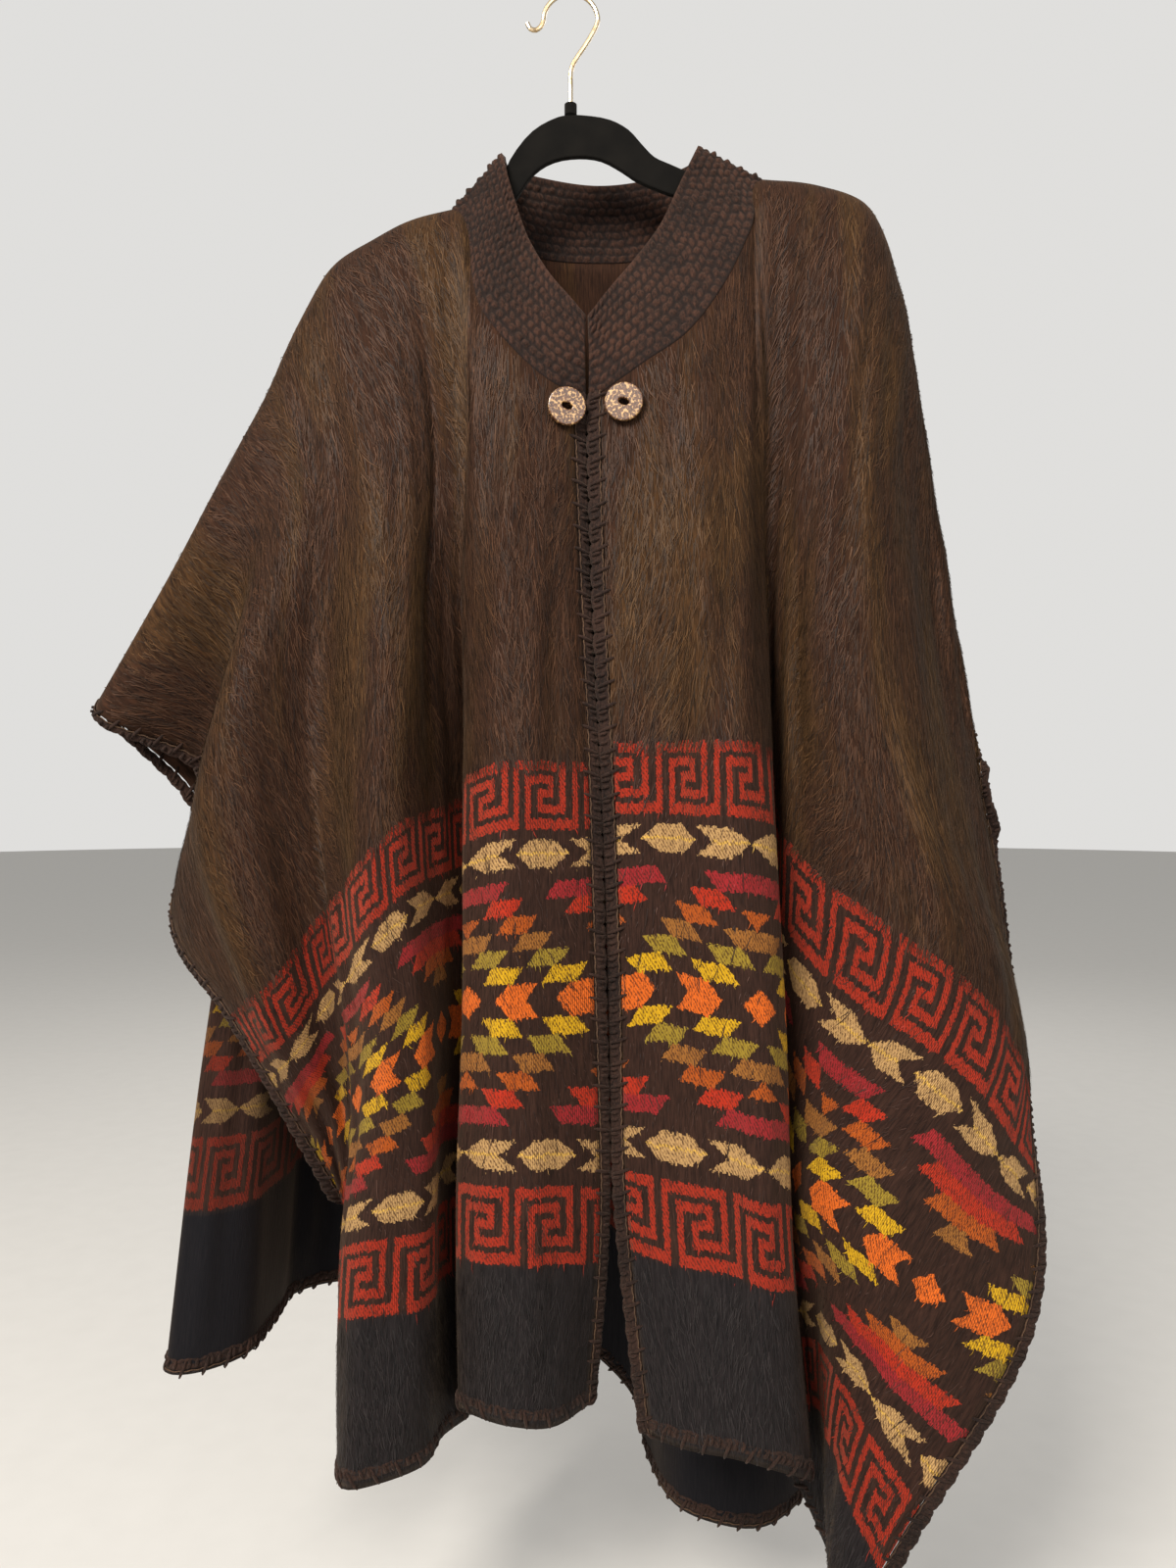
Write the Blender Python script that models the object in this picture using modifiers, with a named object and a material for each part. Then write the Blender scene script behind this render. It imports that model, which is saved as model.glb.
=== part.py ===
"""An Andean poncho on a clothes hanger: one wide brushed cloth, open down the front, with a
knitted collar band, a crocheted edging, two coconut-shell buttons, and the hanger it hangs on.

The frame: the origin is the inside top of the hanger's hook, +Z is up, and the front faces -Y.
The tables and the sizes are in millimetres; MM turns them into metres.
"""

import math

import bpy
import numpy as np

MM = 0.001

# Driving sizes of the cloth and what is sewn to it.
CLOTH_THICK = 2.5
EDGING_WIDE = 8.0
EDGING_THICK = 3.4
COLLAR_THICK = (2.4, 5.0, 5.5, 5.0)
SEAM_GAP = 0.3
EDGING_GAP = 2.4
COLLAR_GAP = 1.7
RIDGE_ROUND = 9.0

# Driving sizes of the buttons.
BUTTON_RADIUS = 14.5
BUTTON_THICK = 3.6
BUTTON_SLOT = (4.2, 2.6)

# Driving sizes of the hanger.
HANGER_THICK = 6.0
HANGER_ROUND = 1.2
FERRULE_RADIUS = 5.0
FERRULE_Z = (-96.6, -88.0)
WIRE_RADIUS = 1.9
HOOK_RADIUS = 22.0

# The front's left half. One row for each warp line, along a fold's crest, side or valley, from
# the slit to the selvedge, which "across" counts in the woven pattern's own millimetres. The
# points run down the line: its top, chest and waist, then the pattern's top, middle and foot,
# and the hem with its edging.
FRONT_LEFT = (
    # across, top, chest, waist, pattern top, pattern middle, pattern foot, hem
    (-35, (2, -50, -335), (3, -54, -375), (7.5, -58, -495),
     (13, -66, -620), (18, -62, -795), (22, -45, -970), (12, -32, -1127)),
    (-65, (-12, -55, -330), (-11, -60, -375), (-10, -68, -495),
     (-8, -78, -620), (-8, -78, -795), (-3, -68, -960), (-10, -55, -1130)),
    (-120, (-37, -56, -310), (-40, -66, -380), (-45, -80, -500),
     (-45, -90, -620), (-45, -90, -795), (-45, -85, -955), (-45, -65, -1125)),
    (-165, (-65, -50, -275), (-65, -60, -370), (-70, -65, -495),
     (-75, -70, -630), (-75, -65, -800), (-80, -60, -960), (-80, -45, -1125)),
    (-240, (-95, -2, -175), (-85, -45, -355), (-90, -35, -490),
     (-82, -4, -645), (-84, 18, -830), (-88, 30, -1000), (-86, 30, -1170)),
    (-320, (-130, -3, -185), (-105, -45, -365), (-110, -50, -500),
     (-105, -40, -655), (-100, -22, -825), (-104, -8, -995), (-104, 2, -1170)),
    (-385, (-158, 0, -198), (-125, -60, -375), (-120, -80, -515),
     (-125, -85, -665), (-110, -75, -835), (-110, -65, -995), (-115, -50, -1165)),
    (-440, (-188, 0, -217), (-150, -65, -385), (-150, -80, -530),
     (-150, -90, -690), (-135, -85, -850), (-150, -80, -995), (-160, -70, -1170)),
    (-500, (-215, 0, -260), (-185, -50, -395), (-195, -40, -555),
     (-180, -45, -725), (-165, -40, -880), (-180, -30, -1020), (-182, -10, -1185)),
    (-577, (-245, 0, -325), (-215, -45, -410), (-225, -55, -575),
     (-200, -40, -745), (-176, -8, -892), (-176, 26, -1040), (-168, 48, -1180)),
    (-640, (-275, 0, -380), (-245, -30, -450), (-260, -75, -615),
     (-225, -65, -785), (-191, 2, -912), (-185, 54, -1044), (-172, 72, -1184)),
    (-690, (-320, 0, -465), (-275, 10, -550), (-290, -50, -670),
     (-245, -55, -800), (-199, 13, -936), (-187, 76, -1048), (-168, 92, -1188)),
    (-735, (-378, 0, -567), (-302, 22, -620), (-320, -2, -740),
     (-262, -36, -815), (-202, 25, -956), (-182, 98, -1052), (-156, 108, -1192)),
)

# The front's right half, from the slit to the selvedge.
FRONT_RIGHT = (
    # across, top, chest, waist, pattern top, pattern middle, pattern foot, hem
    (35, (25, -50, -335), (24.5, -55, -375), (28, -62, -495),
     (33, -62, -605), (40, -55, -795), (44, -46, -955), (63, -55, -1140)),
    (70, (55, -55, -315), (55, -60, -375), (60, -70, -490),
     (66, -68, -605), (68, -62, -790), (72, -58, -960), (88, -72, -1140)),
    (120, (90, -55, -290), (95, -65, -370), (100, -85, -485),
     (100, -85, -605), (105, -80, -795), (115, -80, -960), (125, -85, -1140)),
    (165, (120, -40, -245), (125, -60, -360), (130, -75, -485),
     (130, -90, -605), (140, -90, -800), (145, -95, -965), (160, -85, -1150)),
    (200, (140, -25, -200), (140, -50, -350), (145, -50, -480),
     (150, -60, -610), (160, -70, -810), (165, -75, -975), (183, -60, -1170)),
    (290, (155, 2, -149), (160, -35, -345), (158, -22, -480),
     (159, 2, -630), (154, 12, -850), (152, 22, -1045), (160, 25, -1200)),
    (395, (200, 0, -155), (182, -45, -350), (174, -45, -500),
     (177, -38, -690), (170, 2, -905), (174, 22, -1075), (184, 22, -1215)),
    (470, (235, 0, -168), (215, -60, -360), (200, -70, -535),
     (230, -65, -735), (172, -30, -935), (186, 2, -1100), (206, 6, -1255)),
    (540, (262, 5, -225), (245, -50, -380), (245, -75, -590),
     (280, -75, -770), (186, -60, -945), (194, -18, -1095), (212, -10, -1275)),
    (600, (280, 10, -315), (270, -30, -455), (285, -55, -650),
     (320, -60, -805), (222, -80, -975), (200, -46, -1100), (204, -35, -1295)),
    (670, (300, 12, -445), (310, -12, -575), (330, -25, -720),
     (355, -30, -860), (272, -80, -1015), (216, -72, -1135), (188, -60, -1308)),
    (735, (324, 18, -578), (342, 8, -690), (357, 4, -805),
     (366, -10, -900), (340, -62, -1050), (246, -82, -1188), (176, -78, -1312)),
)

# The back, from the left selvedge to the right one. Its tops are on the shoulder ridge, which
# it shares with the fronts, and on the neck's seam between them.
BACK = (
    # across, chest, pattern top, pattern foot, hem
    (-735, (-318, 42, -642), (-294, 100, -790), (-290, 126, -960), (-298, 132, -1105)),
    (-680, (-298, 50, -560), (-288, 66, -722), (-300, 78, -950), (-314, 80, -1108)),
    (-620, (-270, 52, -475), (-280, 45, -660), (-306, 30, -945), (-325, 25, -1110)),
    (-560, (-245, 52, -440), (-268, 22, -640), (-303, -6, -940), (-320, -16, -1112)),
    (-500, (-220, 50, -400), (-245, 30, -640), (-275, 0, -940), (-292, -12, -1112)),
    (-450, (-192, 52, -395), (-225, 50, -640), (-255, 25, -940), (-266, 12, -1110)),
    (-400, (-165, 55, -390), (-210, 85, -640), (-248, 80, -940), (-260, 75, -1112)),
    (-340, (-135, 58, -385), (-190, 115, -640), (-240, 130, -940), (-258, 138, -1115)),
    (-260, (-95, 65, -380), (-150, 125, -645), (-195, 165, -950), (-212, 178, -1120)),
    (-170, (-65, 78, -385), (-90, 115, -650), (-130, 150, -960), (-140, 158, -1140)),
    (-80, (-20, 85, -388), (-35, 125, -655), (-60, 175, -975), (-68, 190, -1160)),
    (10, (25, 88, -390), (15, 135, -670), (5, 190, -1000), (0, 205, -1190)),
    (80, (62, 86, -388), (55, 135, -690), (55, 185, -1040), (58, 195, -1240)),
    (140, (92, 80, -380), (75, 115, -700), (70, 125, -1070), (70, 125, -1262)),
    (200, (118, 72, -370), (95, 90, -700), (92, 78, -1080), (92, 68, -1270)),
    (260, (140, 62, -360), (130, 76, -700), (128, 62, -1085), (128, 52, -1276)),
    (320, (168, 56, -350), (170, 80, -700), (172, 68, -1090), (168, 58, -1280)),
    (390, (202, 56, -350), (210, 95, -705), (212, 98, -1095), (208, 98, -1276)),
    (460, (232, 58, -365), (242, 112, -715), (245, 140, -1095), (238, 148, -1270)),
    (540, (262, 60, -410), (280, 122, -740), (285, 165, -1090), (262, 178, -1268)),
    (610, (292, 60, -480), (312, 118, -770), (318, 168, -1090), (284, 178, -1268)),
    (670, (316, 58, -575), (331, 105, -830), (342, 150, -1095), (302, 160, -1270)),
    (735, (337, 45, -690), (352, 66, -870), (352, 112, -1100), (306, 124, -1272)),
)

# The seam round the back of the neck, left to right, between the fronts' neck corners.
BACK_NECK = (
    # across, seam
    (-150, (-62, 32, -182)),
    (-65, (-20, 50, -190)),
    (25, (28, 55, -190)),
    (115, (78, 50, -185)),
    (205, (120, 30, -163)),
)
NECK_CORNERS = (-240, 290)

# The collar's upper edge: a point across from each top on the neck line, and one at each end
# of the collar, from the left end round the back of the neck to the right end.
COLLAR_EDGE = (
    (11.5, -45, -275), (7, -42, -268), (0, -38, -259), (-17, -28, -236), (-34, -18, -204),
    (-54, -3, -130), (-52, 30, -124), (-22, 52, -122), (24, 60, -124), (72, 50, -122),
    (100, 28, -121), (102, 0, -123), (86, -8, -160), (72, -15, -192), (52, -25, -223),
    (32, -35, -250), (19, -42, -268), (14.5, -45, -275),
)

# The buttons' middles, and their turn about the vertical in degrees.
BUTTONS = (
    # name, middle, turn
    ("button_left", (-2.0, -62.5, -351.0), 12.0),
    ("button_right", (41.0, -63.5, -348.0), -6.0),
)

# The hanger's flat body in the XZ plane: its upper line and its lower one, left to right.
HANGER_UPPER = (
    (-196, -246), (-184, -229), (-130, -202), (-92, -195), (-70, -177), (-58, -159),
    (-48, -134), (-30, -111), (-10, -100), (0, -98.4), (10, -98.6), (31, -102), (46, -110),
    (57, -122), (67, -132), (80, -138), (105, -149), (130, -161), (155, -170), (200, -177),
    (216, -192),
)
HANGER_LOWER = (
    (-190, -254), (-130, -217), (-92, -210), (-66, -194), (-46, -166), (-30, -143),
    (-14, -133), (7, -129.7), (25, -132), (42, -141), (54, -149), (75, -158), (105, -168),
    (155, -186), (200, -195), (212, -200),
)

# The hook's wire in the XZ plane: below its half circle on the right, and past it on the left.
HOOK_STEM = ((0, -87.6), (0, -74), (0.2, -61), (3, -53), (11, -41), (18, -29.5))
HOOK_TIP = ((-24, -24.5), (-28, -27.5), (-32.5, -26.5), (-35, -22))

# How many columns of faces go between each two rows of a table, and how many rows of faces
# between each two of its points.
COLUMNS_LEFT = (2, 3, 3, 4, 3, 2, 2, 2, 2, 2, 2, 2)
COLUMNS_RIGHT = (2, 2, 2, 2, 4, 3, 3, 2, 2, 2, 2)
COLUMNS_BACK_NECK = 16
ROWS_FRONT = (1, 3, 3, 3, 4, 3, 3)
ROWS_BACK = (1, 5, 6, 4, 3)

COLOURS = {
    # name: colour, roughness, metallic
    "cloth": ((0.052, 0.034, 0.024), 0.9, 0.0),
    "edging": ((0.036, 0.022, 0.016), 0.9, 0.0),
    "knit": ((0.048, 0.028, 0.020), 0.9, 0.0),
    "coconut": ((0.16, 0.085, 0.045), 0.45, 0.0),
    "flock": ((0.012, 0.011, 0.010), 0.95, 0.0),
    "wire": ((0.80, 0.62, 0.42), 0.28, 1.0),
}


def clear_scene():
    for obj in list(bpy.data.objects):
        bpy.data.objects.remove(obj, do_unlink=True)


def material(name):
    colour, roughness, metallic = COLOURS[name]
    made = bpy.data.materials.get(name)
    if made is None:
        made = bpy.data.materials.new(name)
        made.use_nodes = True
        shader = made.node_tree.nodes["Principled BSDF"]
        shader.inputs["Base Color"].default_value = (*colour, 1.0)
        shader.inputs["Roughness"].default_value = roughness
        shader.inputs["Metallic"].default_value = metallic
    return made


def put(name, mesh, finish, collection):
    obj = bpy.data.objects.new(name, mesh)
    obj.data.materials.append(material(finish))
    collection.objects.link(obj)
    return obj


def spline_matrix(knots, places):
    """Rows that turn points at the knots into points of the smooth curve at the places."""
    count = len(knots)
    gaps = np.diff(knots)
    slopes = np.zeros((count, count))
    for i in range(1, count - 1):
        whole = gaps[i - 1] + gaps[i]
        slopes[i, i + 1] += gaps[i - 1] / gaps[i] / whole
        slopes[i, i] += (gaps[i] / gaps[i - 1] - gaps[i - 1] / gaps[i]) / whole
        slopes[i, i - 1] -= gaps[i] / gaps[i - 1] / whole
    slopes[0, 0:2] = (-1 / gaps[0], 1 / gaps[0])
    slopes[-1, -2:] = (-1 / gaps[-1], 1 / gaps[-1])
    rows = np.zeros((len(places), count))
    for row, place in zip(rows, places):
        i = min(max(int(np.searchsorted(knots, place, side="right")) - 1, 0), count - 2)
        f = (place - knots[i]) / gaps[i]
        row[i] += 2 * f**3 - 3 * f**2 + 1
        row[i + 1] += 3 * f**2 - 2 * f**3
        row += slopes[i] * gaps[i] * (f**3 - 2 * f**2 + f)
        row += slopes[i + 1] * gaps[i] * (f**3 - f**2)
    return rows


def mean_knots(cage, axis):
    """Knots along one axis of a cage of points: the mean distance between its lines, added up."""
    steps = np.linalg.norm(np.diff(cage, axis=axis), axis=2).mean(axis=1 - axis)
    return np.concatenate([[0.0], np.cumsum(steps)])


def stepped(knots, counts):
    """Places along the knots, with the number of steps that counts gives between each two."""
    places = [np.linspace(a, b, n + 1)[:-1] for a, b, n in zip(knots, knots[1:], counts)]
    return np.concatenate([*places, knots[-1:]])


def unit(vectors):
    return vectors / np.linalg.norm(vectors, axis=-1, keepdims=True)


def on_ridge(across):
    """Which places across are on a shoulder ridge, not on the neck's seam."""
    return (across <= NECK_CORNERS[0] + 1e-6) | (across >= NECK_CORNERS[1] - 1e-6)


def ridge(across):
    """The points of the shoulder ridges at the places across."""
    points = np.zeros((len(across), 3))
    for table, side in ((FRONT_LEFT, -1), (FRONT_RIGHT, 1)):
        rows = [row for row in table if on_ridge(np.array(row[0]))]
        places = np.array([row[0] for row in rows], float) * side
        tops = np.array([row[1] for row in rows], float)
        knots = mean_knots(tops[:, None], 0)
        here = np.interp(across * side, places, knots)
        mask = on_ridge(across) & (across * side > 0)
        points[mask] = spline_matrix(knots, here[mask]) @ tops
    return points


def sheet_of(across, tops, cage, side, places, counts):
    """One panel's middle surface: points[column, row] at the places across, with unit normals
    out of the garment. Over a ridge it starts level; side is -1 at the front, 1 at the back."""
    level = np.array([0.0, side * RIDGE_ROUND, -0.7 * RIDGE_ROUND])
    after = np.where(on_ridge(across)[:, None], tops + level, tops * 0.8 + cage[:, 0] * 0.2)
    before = np.where(on_ridge(across)[:, None], tops + level * (1, -1, 1), 2 * tops - after)
    cage = np.concatenate([np.stack([before, tops, after], axis=1), cage], axis=1)
    columns = mean_knots(cage, 0)
    levels = mean_knots(cage, 1)
    rows = stepped(levels[1:], counts)
    rows[-1] -= EDGING_WIDE + EDGING_GAP
    order = np.argsort(across)
    here = np.interp(places, across[order], columns[order])
    crosswise = spline_matrix(columns, here)
    grid = np.einsum("ai,bj,ijk->abk", crosswise, spline_matrix(levels, rows), cage)
    over = on_ridge(places)
    shift = np.where(over[:, None], ridge(places) - grid[:, 0], 0.0)
    fade = np.clip((levels[3] - rows) / (levels[3] - levels[2]), 0, 1)
    grid = grid + shift[:, None] * fade[None, :, None]
    down = np.gradient(grid, axis=1)
    down[over, 0] = (0.0, side, 0.0)
    grid[:, 0] += unit(down[:, 0]) * SEAM_GAP / 2
    normals = unit(np.cross(np.gradient(grid, axis=0), down))
    outward = -1 if side < 0 else 1
    if places[0] > places[-1]:
        outward = -outward
    return grid, normals * outward


def front_sheet(table, columns):
    across = np.array([row[0] for row in table], float)
    points = np.array([row[1:] for row in table], float)
    places = stepped(across, columns)
    return places, *sheet_of(across, points[:, 0], points[:, 1:], -1, places, ROWS_FRONT)


def back_sheet(left_places, right_places):
    across = np.array([row[0] for row in BACK], float)
    cage = np.array([row[1:] for row in BACK], float)
    neck = [(p, q) for p, q in zip(NECK_CORNERS, ridge(np.array(NECK_CORNERS, float)))]
    neck = sorted(neck + list(BACK_NECK), key=lambda row: row[0])
    seam_places = np.array([row[0] for row in neck], float)
    seam = np.array([row[1] for row in neck], float)
    tops = ridge(across)
    inside = ~on_ridge(across)
    knots = mean_knots(seam[:, None], 0)
    tops[inside] = spline_matrix(knots, np.interp(across[inside], seam_places, knots)) @ seam
    left = left_places[on_ridge(left_places)][::-1]
    right = right_places[on_ridge(right_places)]
    between = np.linspace(*NECK_CORNERS, COLUMNS_BACK_NECK + 1)[1:-1]
    places = np.concatenate([left, between, right])
    return places, *sheet_of(across, tops, cage, 1, places, ROWS_BACK)


def wall_mesh(name, grid, normals, thick):
    """A closed wall about the grid; thick holds one thickness, or one for each row."""
    columns, rows = grid.shape[:2]
    half = normals * (np.broadcast_to(thick, rows) / 2)[None, :, None]
    points = np.concatenate([(grid + half).reshape(-1, 3), (grid - half).reshape(-1, 3)]) * MM
    index = np.arange(columns * rows).reshape(columns, rows)
    inner = index + columns * rows
    faces = []
    for a in range(columns - 1):
        for b in range(rows - 1):
            faces.append((index[a, b], index[a, b + 1], index[a + 1, b + 1], index[a + 1, b]))
            faces.append((inner[a, b], inner[a + 1, b], inner[a + 1, b + 1], inner[a, b + 1]))
    for a in range(columns - 1):
        faces.append((index[a, 0], index[a + 1, 0], inner[a + 1, 0], inner[a, 0]))
        faces.append((index[a, -1], inner[a, -1], inner[a + 1, -1], index[a + 1, -1]))
    for b in range(rows - 1):
        faces.append((index[0, b], inner[0, b], inner[0, b + 1], index[0, b + 1]))
        faces.append((index[-1, b], index[-1, b + 1], inner[-1, b + 1], inner[-1, b]))
    first, second = grid[1, 0] - grid[0, 0], grid[0, 1] - grid[0, 0]
    if np.dot(np.cross(second, first), normals[0, 0]) < 0:
        faces = [face[::-1] for face in faces]
    mesh = bpy.data.meshes.new(name)
    mesh.from_pydata([tuple(p) for p in points], [], [tuple(map(int, f)) for f in faces])
    mesh.shade_smooth()
    return mesh


def square_to(vectors, along):
    """The vectors' part square to the lines along, as unit vectors."""
    along = unit(along)
    return unit(vectors - np.sum(vectors * along, axis=-1, keepdims=True) * along)


def edging_strip(grid, normals, level):
    """The crocheted strip carried out past the panel: down its first side, along its hem and up
    its last side. Its middle surface and normals, points[place, 0 inside or 1 outside]. Level
    says of each side whether it starts level, over a ridge."""
    sides = []
    for index, beside in ((0, 1), (-1, -2)):
        along = np.gradient(grid[index], axis=0)
        if level[index]:
            along[0] = (0, 1, 0)
        sides.append(square_to(grid[index] - grid[beside], along))
    first, last = sides
    down = square_to(grid[:, -1] - grid[:, -2], np.gradient(grid[:, -1], axis=0))
    down[0] = down[0] + first[-1]
    down[-1] = down[-1] + last[-1]
    inner = np.concatenate([grid[0, :-1], grid[:, -1], grid[-1, -2::-1]])
    outward = np.concatenate([first[:-1], down, last[-2::-1]])
    facing = np.concatenate([normals[0, :-1], normals[:, -1], normals[-1, -2::-1]])
    strip = np.stack([inner + EDGING_GAP * outward,
                      inner + (EDGING_GAP + EDGING_WIDE) * outward], axis=1)
    return strip, np.stack([facing, facing], axis=1)


def build_cloth(collection):
    """The three stretches of cloth and their edgings. It hands back what the collar needs."""
    left_places, left, left_out = front_sheet(FRONT_LEFT, COLUMNS_LEFT)
    right_places, right, right_out = front_sheet(FRONT_RIGHT, COLUMNS_RIGHT)
    back_places, back, back_out = back_sheet(left_places, right_places)
    strips = []
    for name, grid, facing in (("front_left", left, left_out), ("front_right", right, right_out),
                               ("back", back, back_out)):
        put(name, wall_mesh(name, grid, facing, CLOTH_THICK), "cloth", collection)
        strip, strip_out = edging_strip(grid, facing, (name == "back", True))
        strips.append(strip)
        label = name + "_edging"
        put(label, wall_mesh(label, strip, strip_out, EDGING_THICK), "edging", collection)
    neck_left = left_places >= NECK_CORNERS[0] - 1e-6
    neck_right = right_places <= NECK_CORNERS[1] + 1e-6
    neck_back = ~on_ridge(back_places)
    seam = [strips[0][:1, 1], left[neck_left, 0], back[neck_back, 0],
            right[neck_right, 0][::-1], strips[1][:1, 1]]
    rows_left = [-row[0] for row in FRONT_LEFT if row[0] >= NECK_CORNERS[0]]
    rows_right = [row[0] for row in FRONT_RIGHT if row[0] <= NECK_CORNERS[1]]
    rows_back = [NECK_CORNERS[0], *[row[0] for row in BACK_NECK], NECK_CORNERS[1]]
    at_back = len(rows_left)
    at_right = at_back + len(rows_back) - 1
    shares = [
        [0.0],
        np.interp(-left_places[neck_left], rows_left, np.arange(len(rows_left)) + 1),
        np.interp(back_places[neck_back], rows_back, np.arange(len(rows_back)) + at_back),
        at_right + len(rows_right) - 1 - np.interp(
            right_places[neck_right][::-1], rows_right, np.arange(len(rows_right))),
        [at_right + len(rows_right)],
    ]
    return np.concatenate(seam), np.concatenate(shares)


def build_collar(collection, seam, shares):
    points = np.array(COLLAR_EDGE, float)
    knots = mean_knots(points[:, None], 0)
    edge = spline_matrix(knots, np.interp(shares, np.arange(len(points)), knots)) @ points
    start = COLLAR_GAP / np.linalg.norm(edge - seam, axis=1, keepdims=True)
    rises = np.linspace(0, 1, len(COLLAR_THICK))
    grid = np.stack([seam + (edge - seam) * (start + (1 - start) * f) for f in rises], axis=1)
    normals = unit(np.cross(np.gradient(grid, axis=0), np.gradient(grid, axis=1)))
    put("collar", wall_mesh("collar", grid, normals, COLLAR_THICK), "knit", collection)


def build_buttons(collection):
    for name, middle, turn in BUTTONS:
        bpy.ops.mesh.primitive_cylinder_add(
            vertices=40, radius=BUTTON_RADIUS * MM, depth=BUTTON_THICK * MM)
        button = bpy.context.object
        button.name = name
        button.data.materials.append(material("coconut"))
        bpy.ops.mesh.primitive_cylinder_add(
            vertices=20, radius=MM, depth=3 * BUTTON_THICK * MM)
        slot = bpy.context.object
        slot.name = name + "_slot"
        slot.scale = (BUTTON_SLOT[0], BUTTON_SLOT[1], 1)
        slot.rotation_euler = (0, 0, math.radians(-20))
        slot.hide_render = True
        slot.display_type = "WIRE"
        slot.parent = button
        cut = button.modifiers.new("slot", "BOOLEAN")
        cut.operation = "DIFFERENCE"
        cut.object = slot
        rim = button.modifiers.new("rim", "BEVEL")
        rim.width = 0.8 * MM
        rim.segments = 2
        rim.limit_method = "ANGLE"
        button.location = [v * MM for v in middle]
        button.rotation_euler = (math.radians(90), 0, math.radians(turn))
        for obj, into in ((button, collection), (slot, bpy.data.collections["cutters"])):
            for old in list(obj.users_collection):
                old.objects.unlink(obj)
            into.objects.link(obj)


def smooth_line(points, steps):
    points = np.array(points, float)
    lengths = np.linalg.norm(np.diff(points, axis=0), axis=1) ** 0.5
    knots = np.concatenate([[0.0], np.cumsum(lengths)])
    return spline_matrix(knots, stepped(knots, [steps] * (len(points) - 1))) @ points


def build_hanger(collection):
    upper = smooth_line(HANGER_UPPER, 3)
    lower = smooth_line(HANGER_LOWER, 3)
    outline = np.concatenate([upper, lower[::-1]])
    curve = bpy.data.curves.new("hanger_body", "CURVE")
    curve.dimensions = "2D"
    curve.fill_mode = "BOTH"
    curve.extrude = (HANGER_THICK / 2 - HANGER_ROUND) * MM
    curve.bevel_depth = HANGER_ROUND * MM
    curve.bevel_resolution = 1
    spline = curve.splines.new("POLY")
    spline.points.add(len(outline) - 1)
    for point, (x, z) in zip(spline.points, outline):
        point.co = (x * MM, z * MM, 0, 1)
    spline.use_cyclic_u = True
    body = put("hanger_body", curve, "flock", collection)
    body.rotation_euler = (math.radians(90), 0, 0)

    low, high = FERRULE_Z
    bpy.ops.mesh.primitive_cylinder_add(
        vertices=32, radius=FERRULE_RADIUS * MM, depth=(high - low) * MM,
        location=(0, 0, (low + high) / 2 * MM))
    ferrule = bpy.context.object
    ferrule.name = "hanger_ferrule"
    ferrule.data.materials.append(material("flock"))
    for old in list(ferrule.users_collection):
        old.objects.unlink(ferrule)
    collection.objects.link(ferrule)

    middle = -HOOK_RADIUS + WIRE_RADIUS
    turns = [math.radians(a) for a in range(0, 181, 15)]
    arc = [(HOOK_RADIUS * math.cos(a), middle + HOOK_RADIUS * math.sin(a)) for a in turns]
    route = smooth_line(list(HOOK_STEM) + arc + list(HOOK_TIP), 2)
    wire = bpy.data.curves.new("hanger_hook", "CURVE")
    wire.dimensions = "3D"
    wire.bevel_depth = WIRE_RADIUS * MM
    wire.bevel_resolution = 3
    wire.use_fill_caps = True
    spline = wire.splines.new("POLY")
    spline.points.add(len(route) - 1)
    for point, (x, z) in zip(spline.points, route):
        point.co = (x * MM, 0, z * MM, 1)
    put("hanger_hook", wire, "wire", collection)


def main():
    clear_scene()
    collection = bpy.data.collections.new("andean_poncho")
    cutters = bpy.data.collections.new("cutters")
    bpy.context.scene.collection.children.link(collection)
    bpy.context.scene.collection.children.link(cutters)
    seam, shares = build_cloth(collection)
    build_collar(collection, seam, shares)
    build_buttons(collection)
    build_hanger(collection)


main()
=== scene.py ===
"""The looks of an Andean poncho on a clothes hanger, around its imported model: a wide cloth of
brushed wool with a woven band, a knitted collar band, a crocheted edging, coconut-shell buttons,
and a black flocked hanger with a pale gold hook.

The origin is the inside top of the hanger's hook, +Z is up, and the front faces -Y. The tables
and sizes are in millimetres; MM turns them into metres.
"""

import math

import bpy
import mathutils
import numpy as np
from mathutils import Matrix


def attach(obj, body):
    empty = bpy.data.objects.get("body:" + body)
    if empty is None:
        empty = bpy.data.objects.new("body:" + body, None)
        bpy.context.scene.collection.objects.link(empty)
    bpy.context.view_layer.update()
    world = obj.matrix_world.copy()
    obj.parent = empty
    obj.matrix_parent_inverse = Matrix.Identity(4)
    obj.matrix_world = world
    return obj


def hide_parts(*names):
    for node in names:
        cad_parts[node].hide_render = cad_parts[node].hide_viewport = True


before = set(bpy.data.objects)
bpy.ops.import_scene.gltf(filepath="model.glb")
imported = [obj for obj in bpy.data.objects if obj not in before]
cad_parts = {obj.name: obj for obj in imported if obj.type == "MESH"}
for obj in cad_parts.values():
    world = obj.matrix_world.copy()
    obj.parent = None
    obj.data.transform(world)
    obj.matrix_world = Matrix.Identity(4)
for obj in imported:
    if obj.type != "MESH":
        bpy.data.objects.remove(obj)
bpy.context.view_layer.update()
MM = 0.001
SEED = 7

# The cloth and what is sewn to it, as in the model's own source.
CLOTH_THICK = 2.5
EDGING_WIDE = 8.0
SEAM_GAP = 0.3
EDGING_GAP = 2.4
COLLAR_OVERLAP = 1.8
RIDGE_ROUND = 9.0

# The woven pattern's heights above the hem's edge, at each level of the tables.
LEVELS_FRONT = (509, 320, 160, 0)
LEVELS_BACK = (509, 160, 0)

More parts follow.
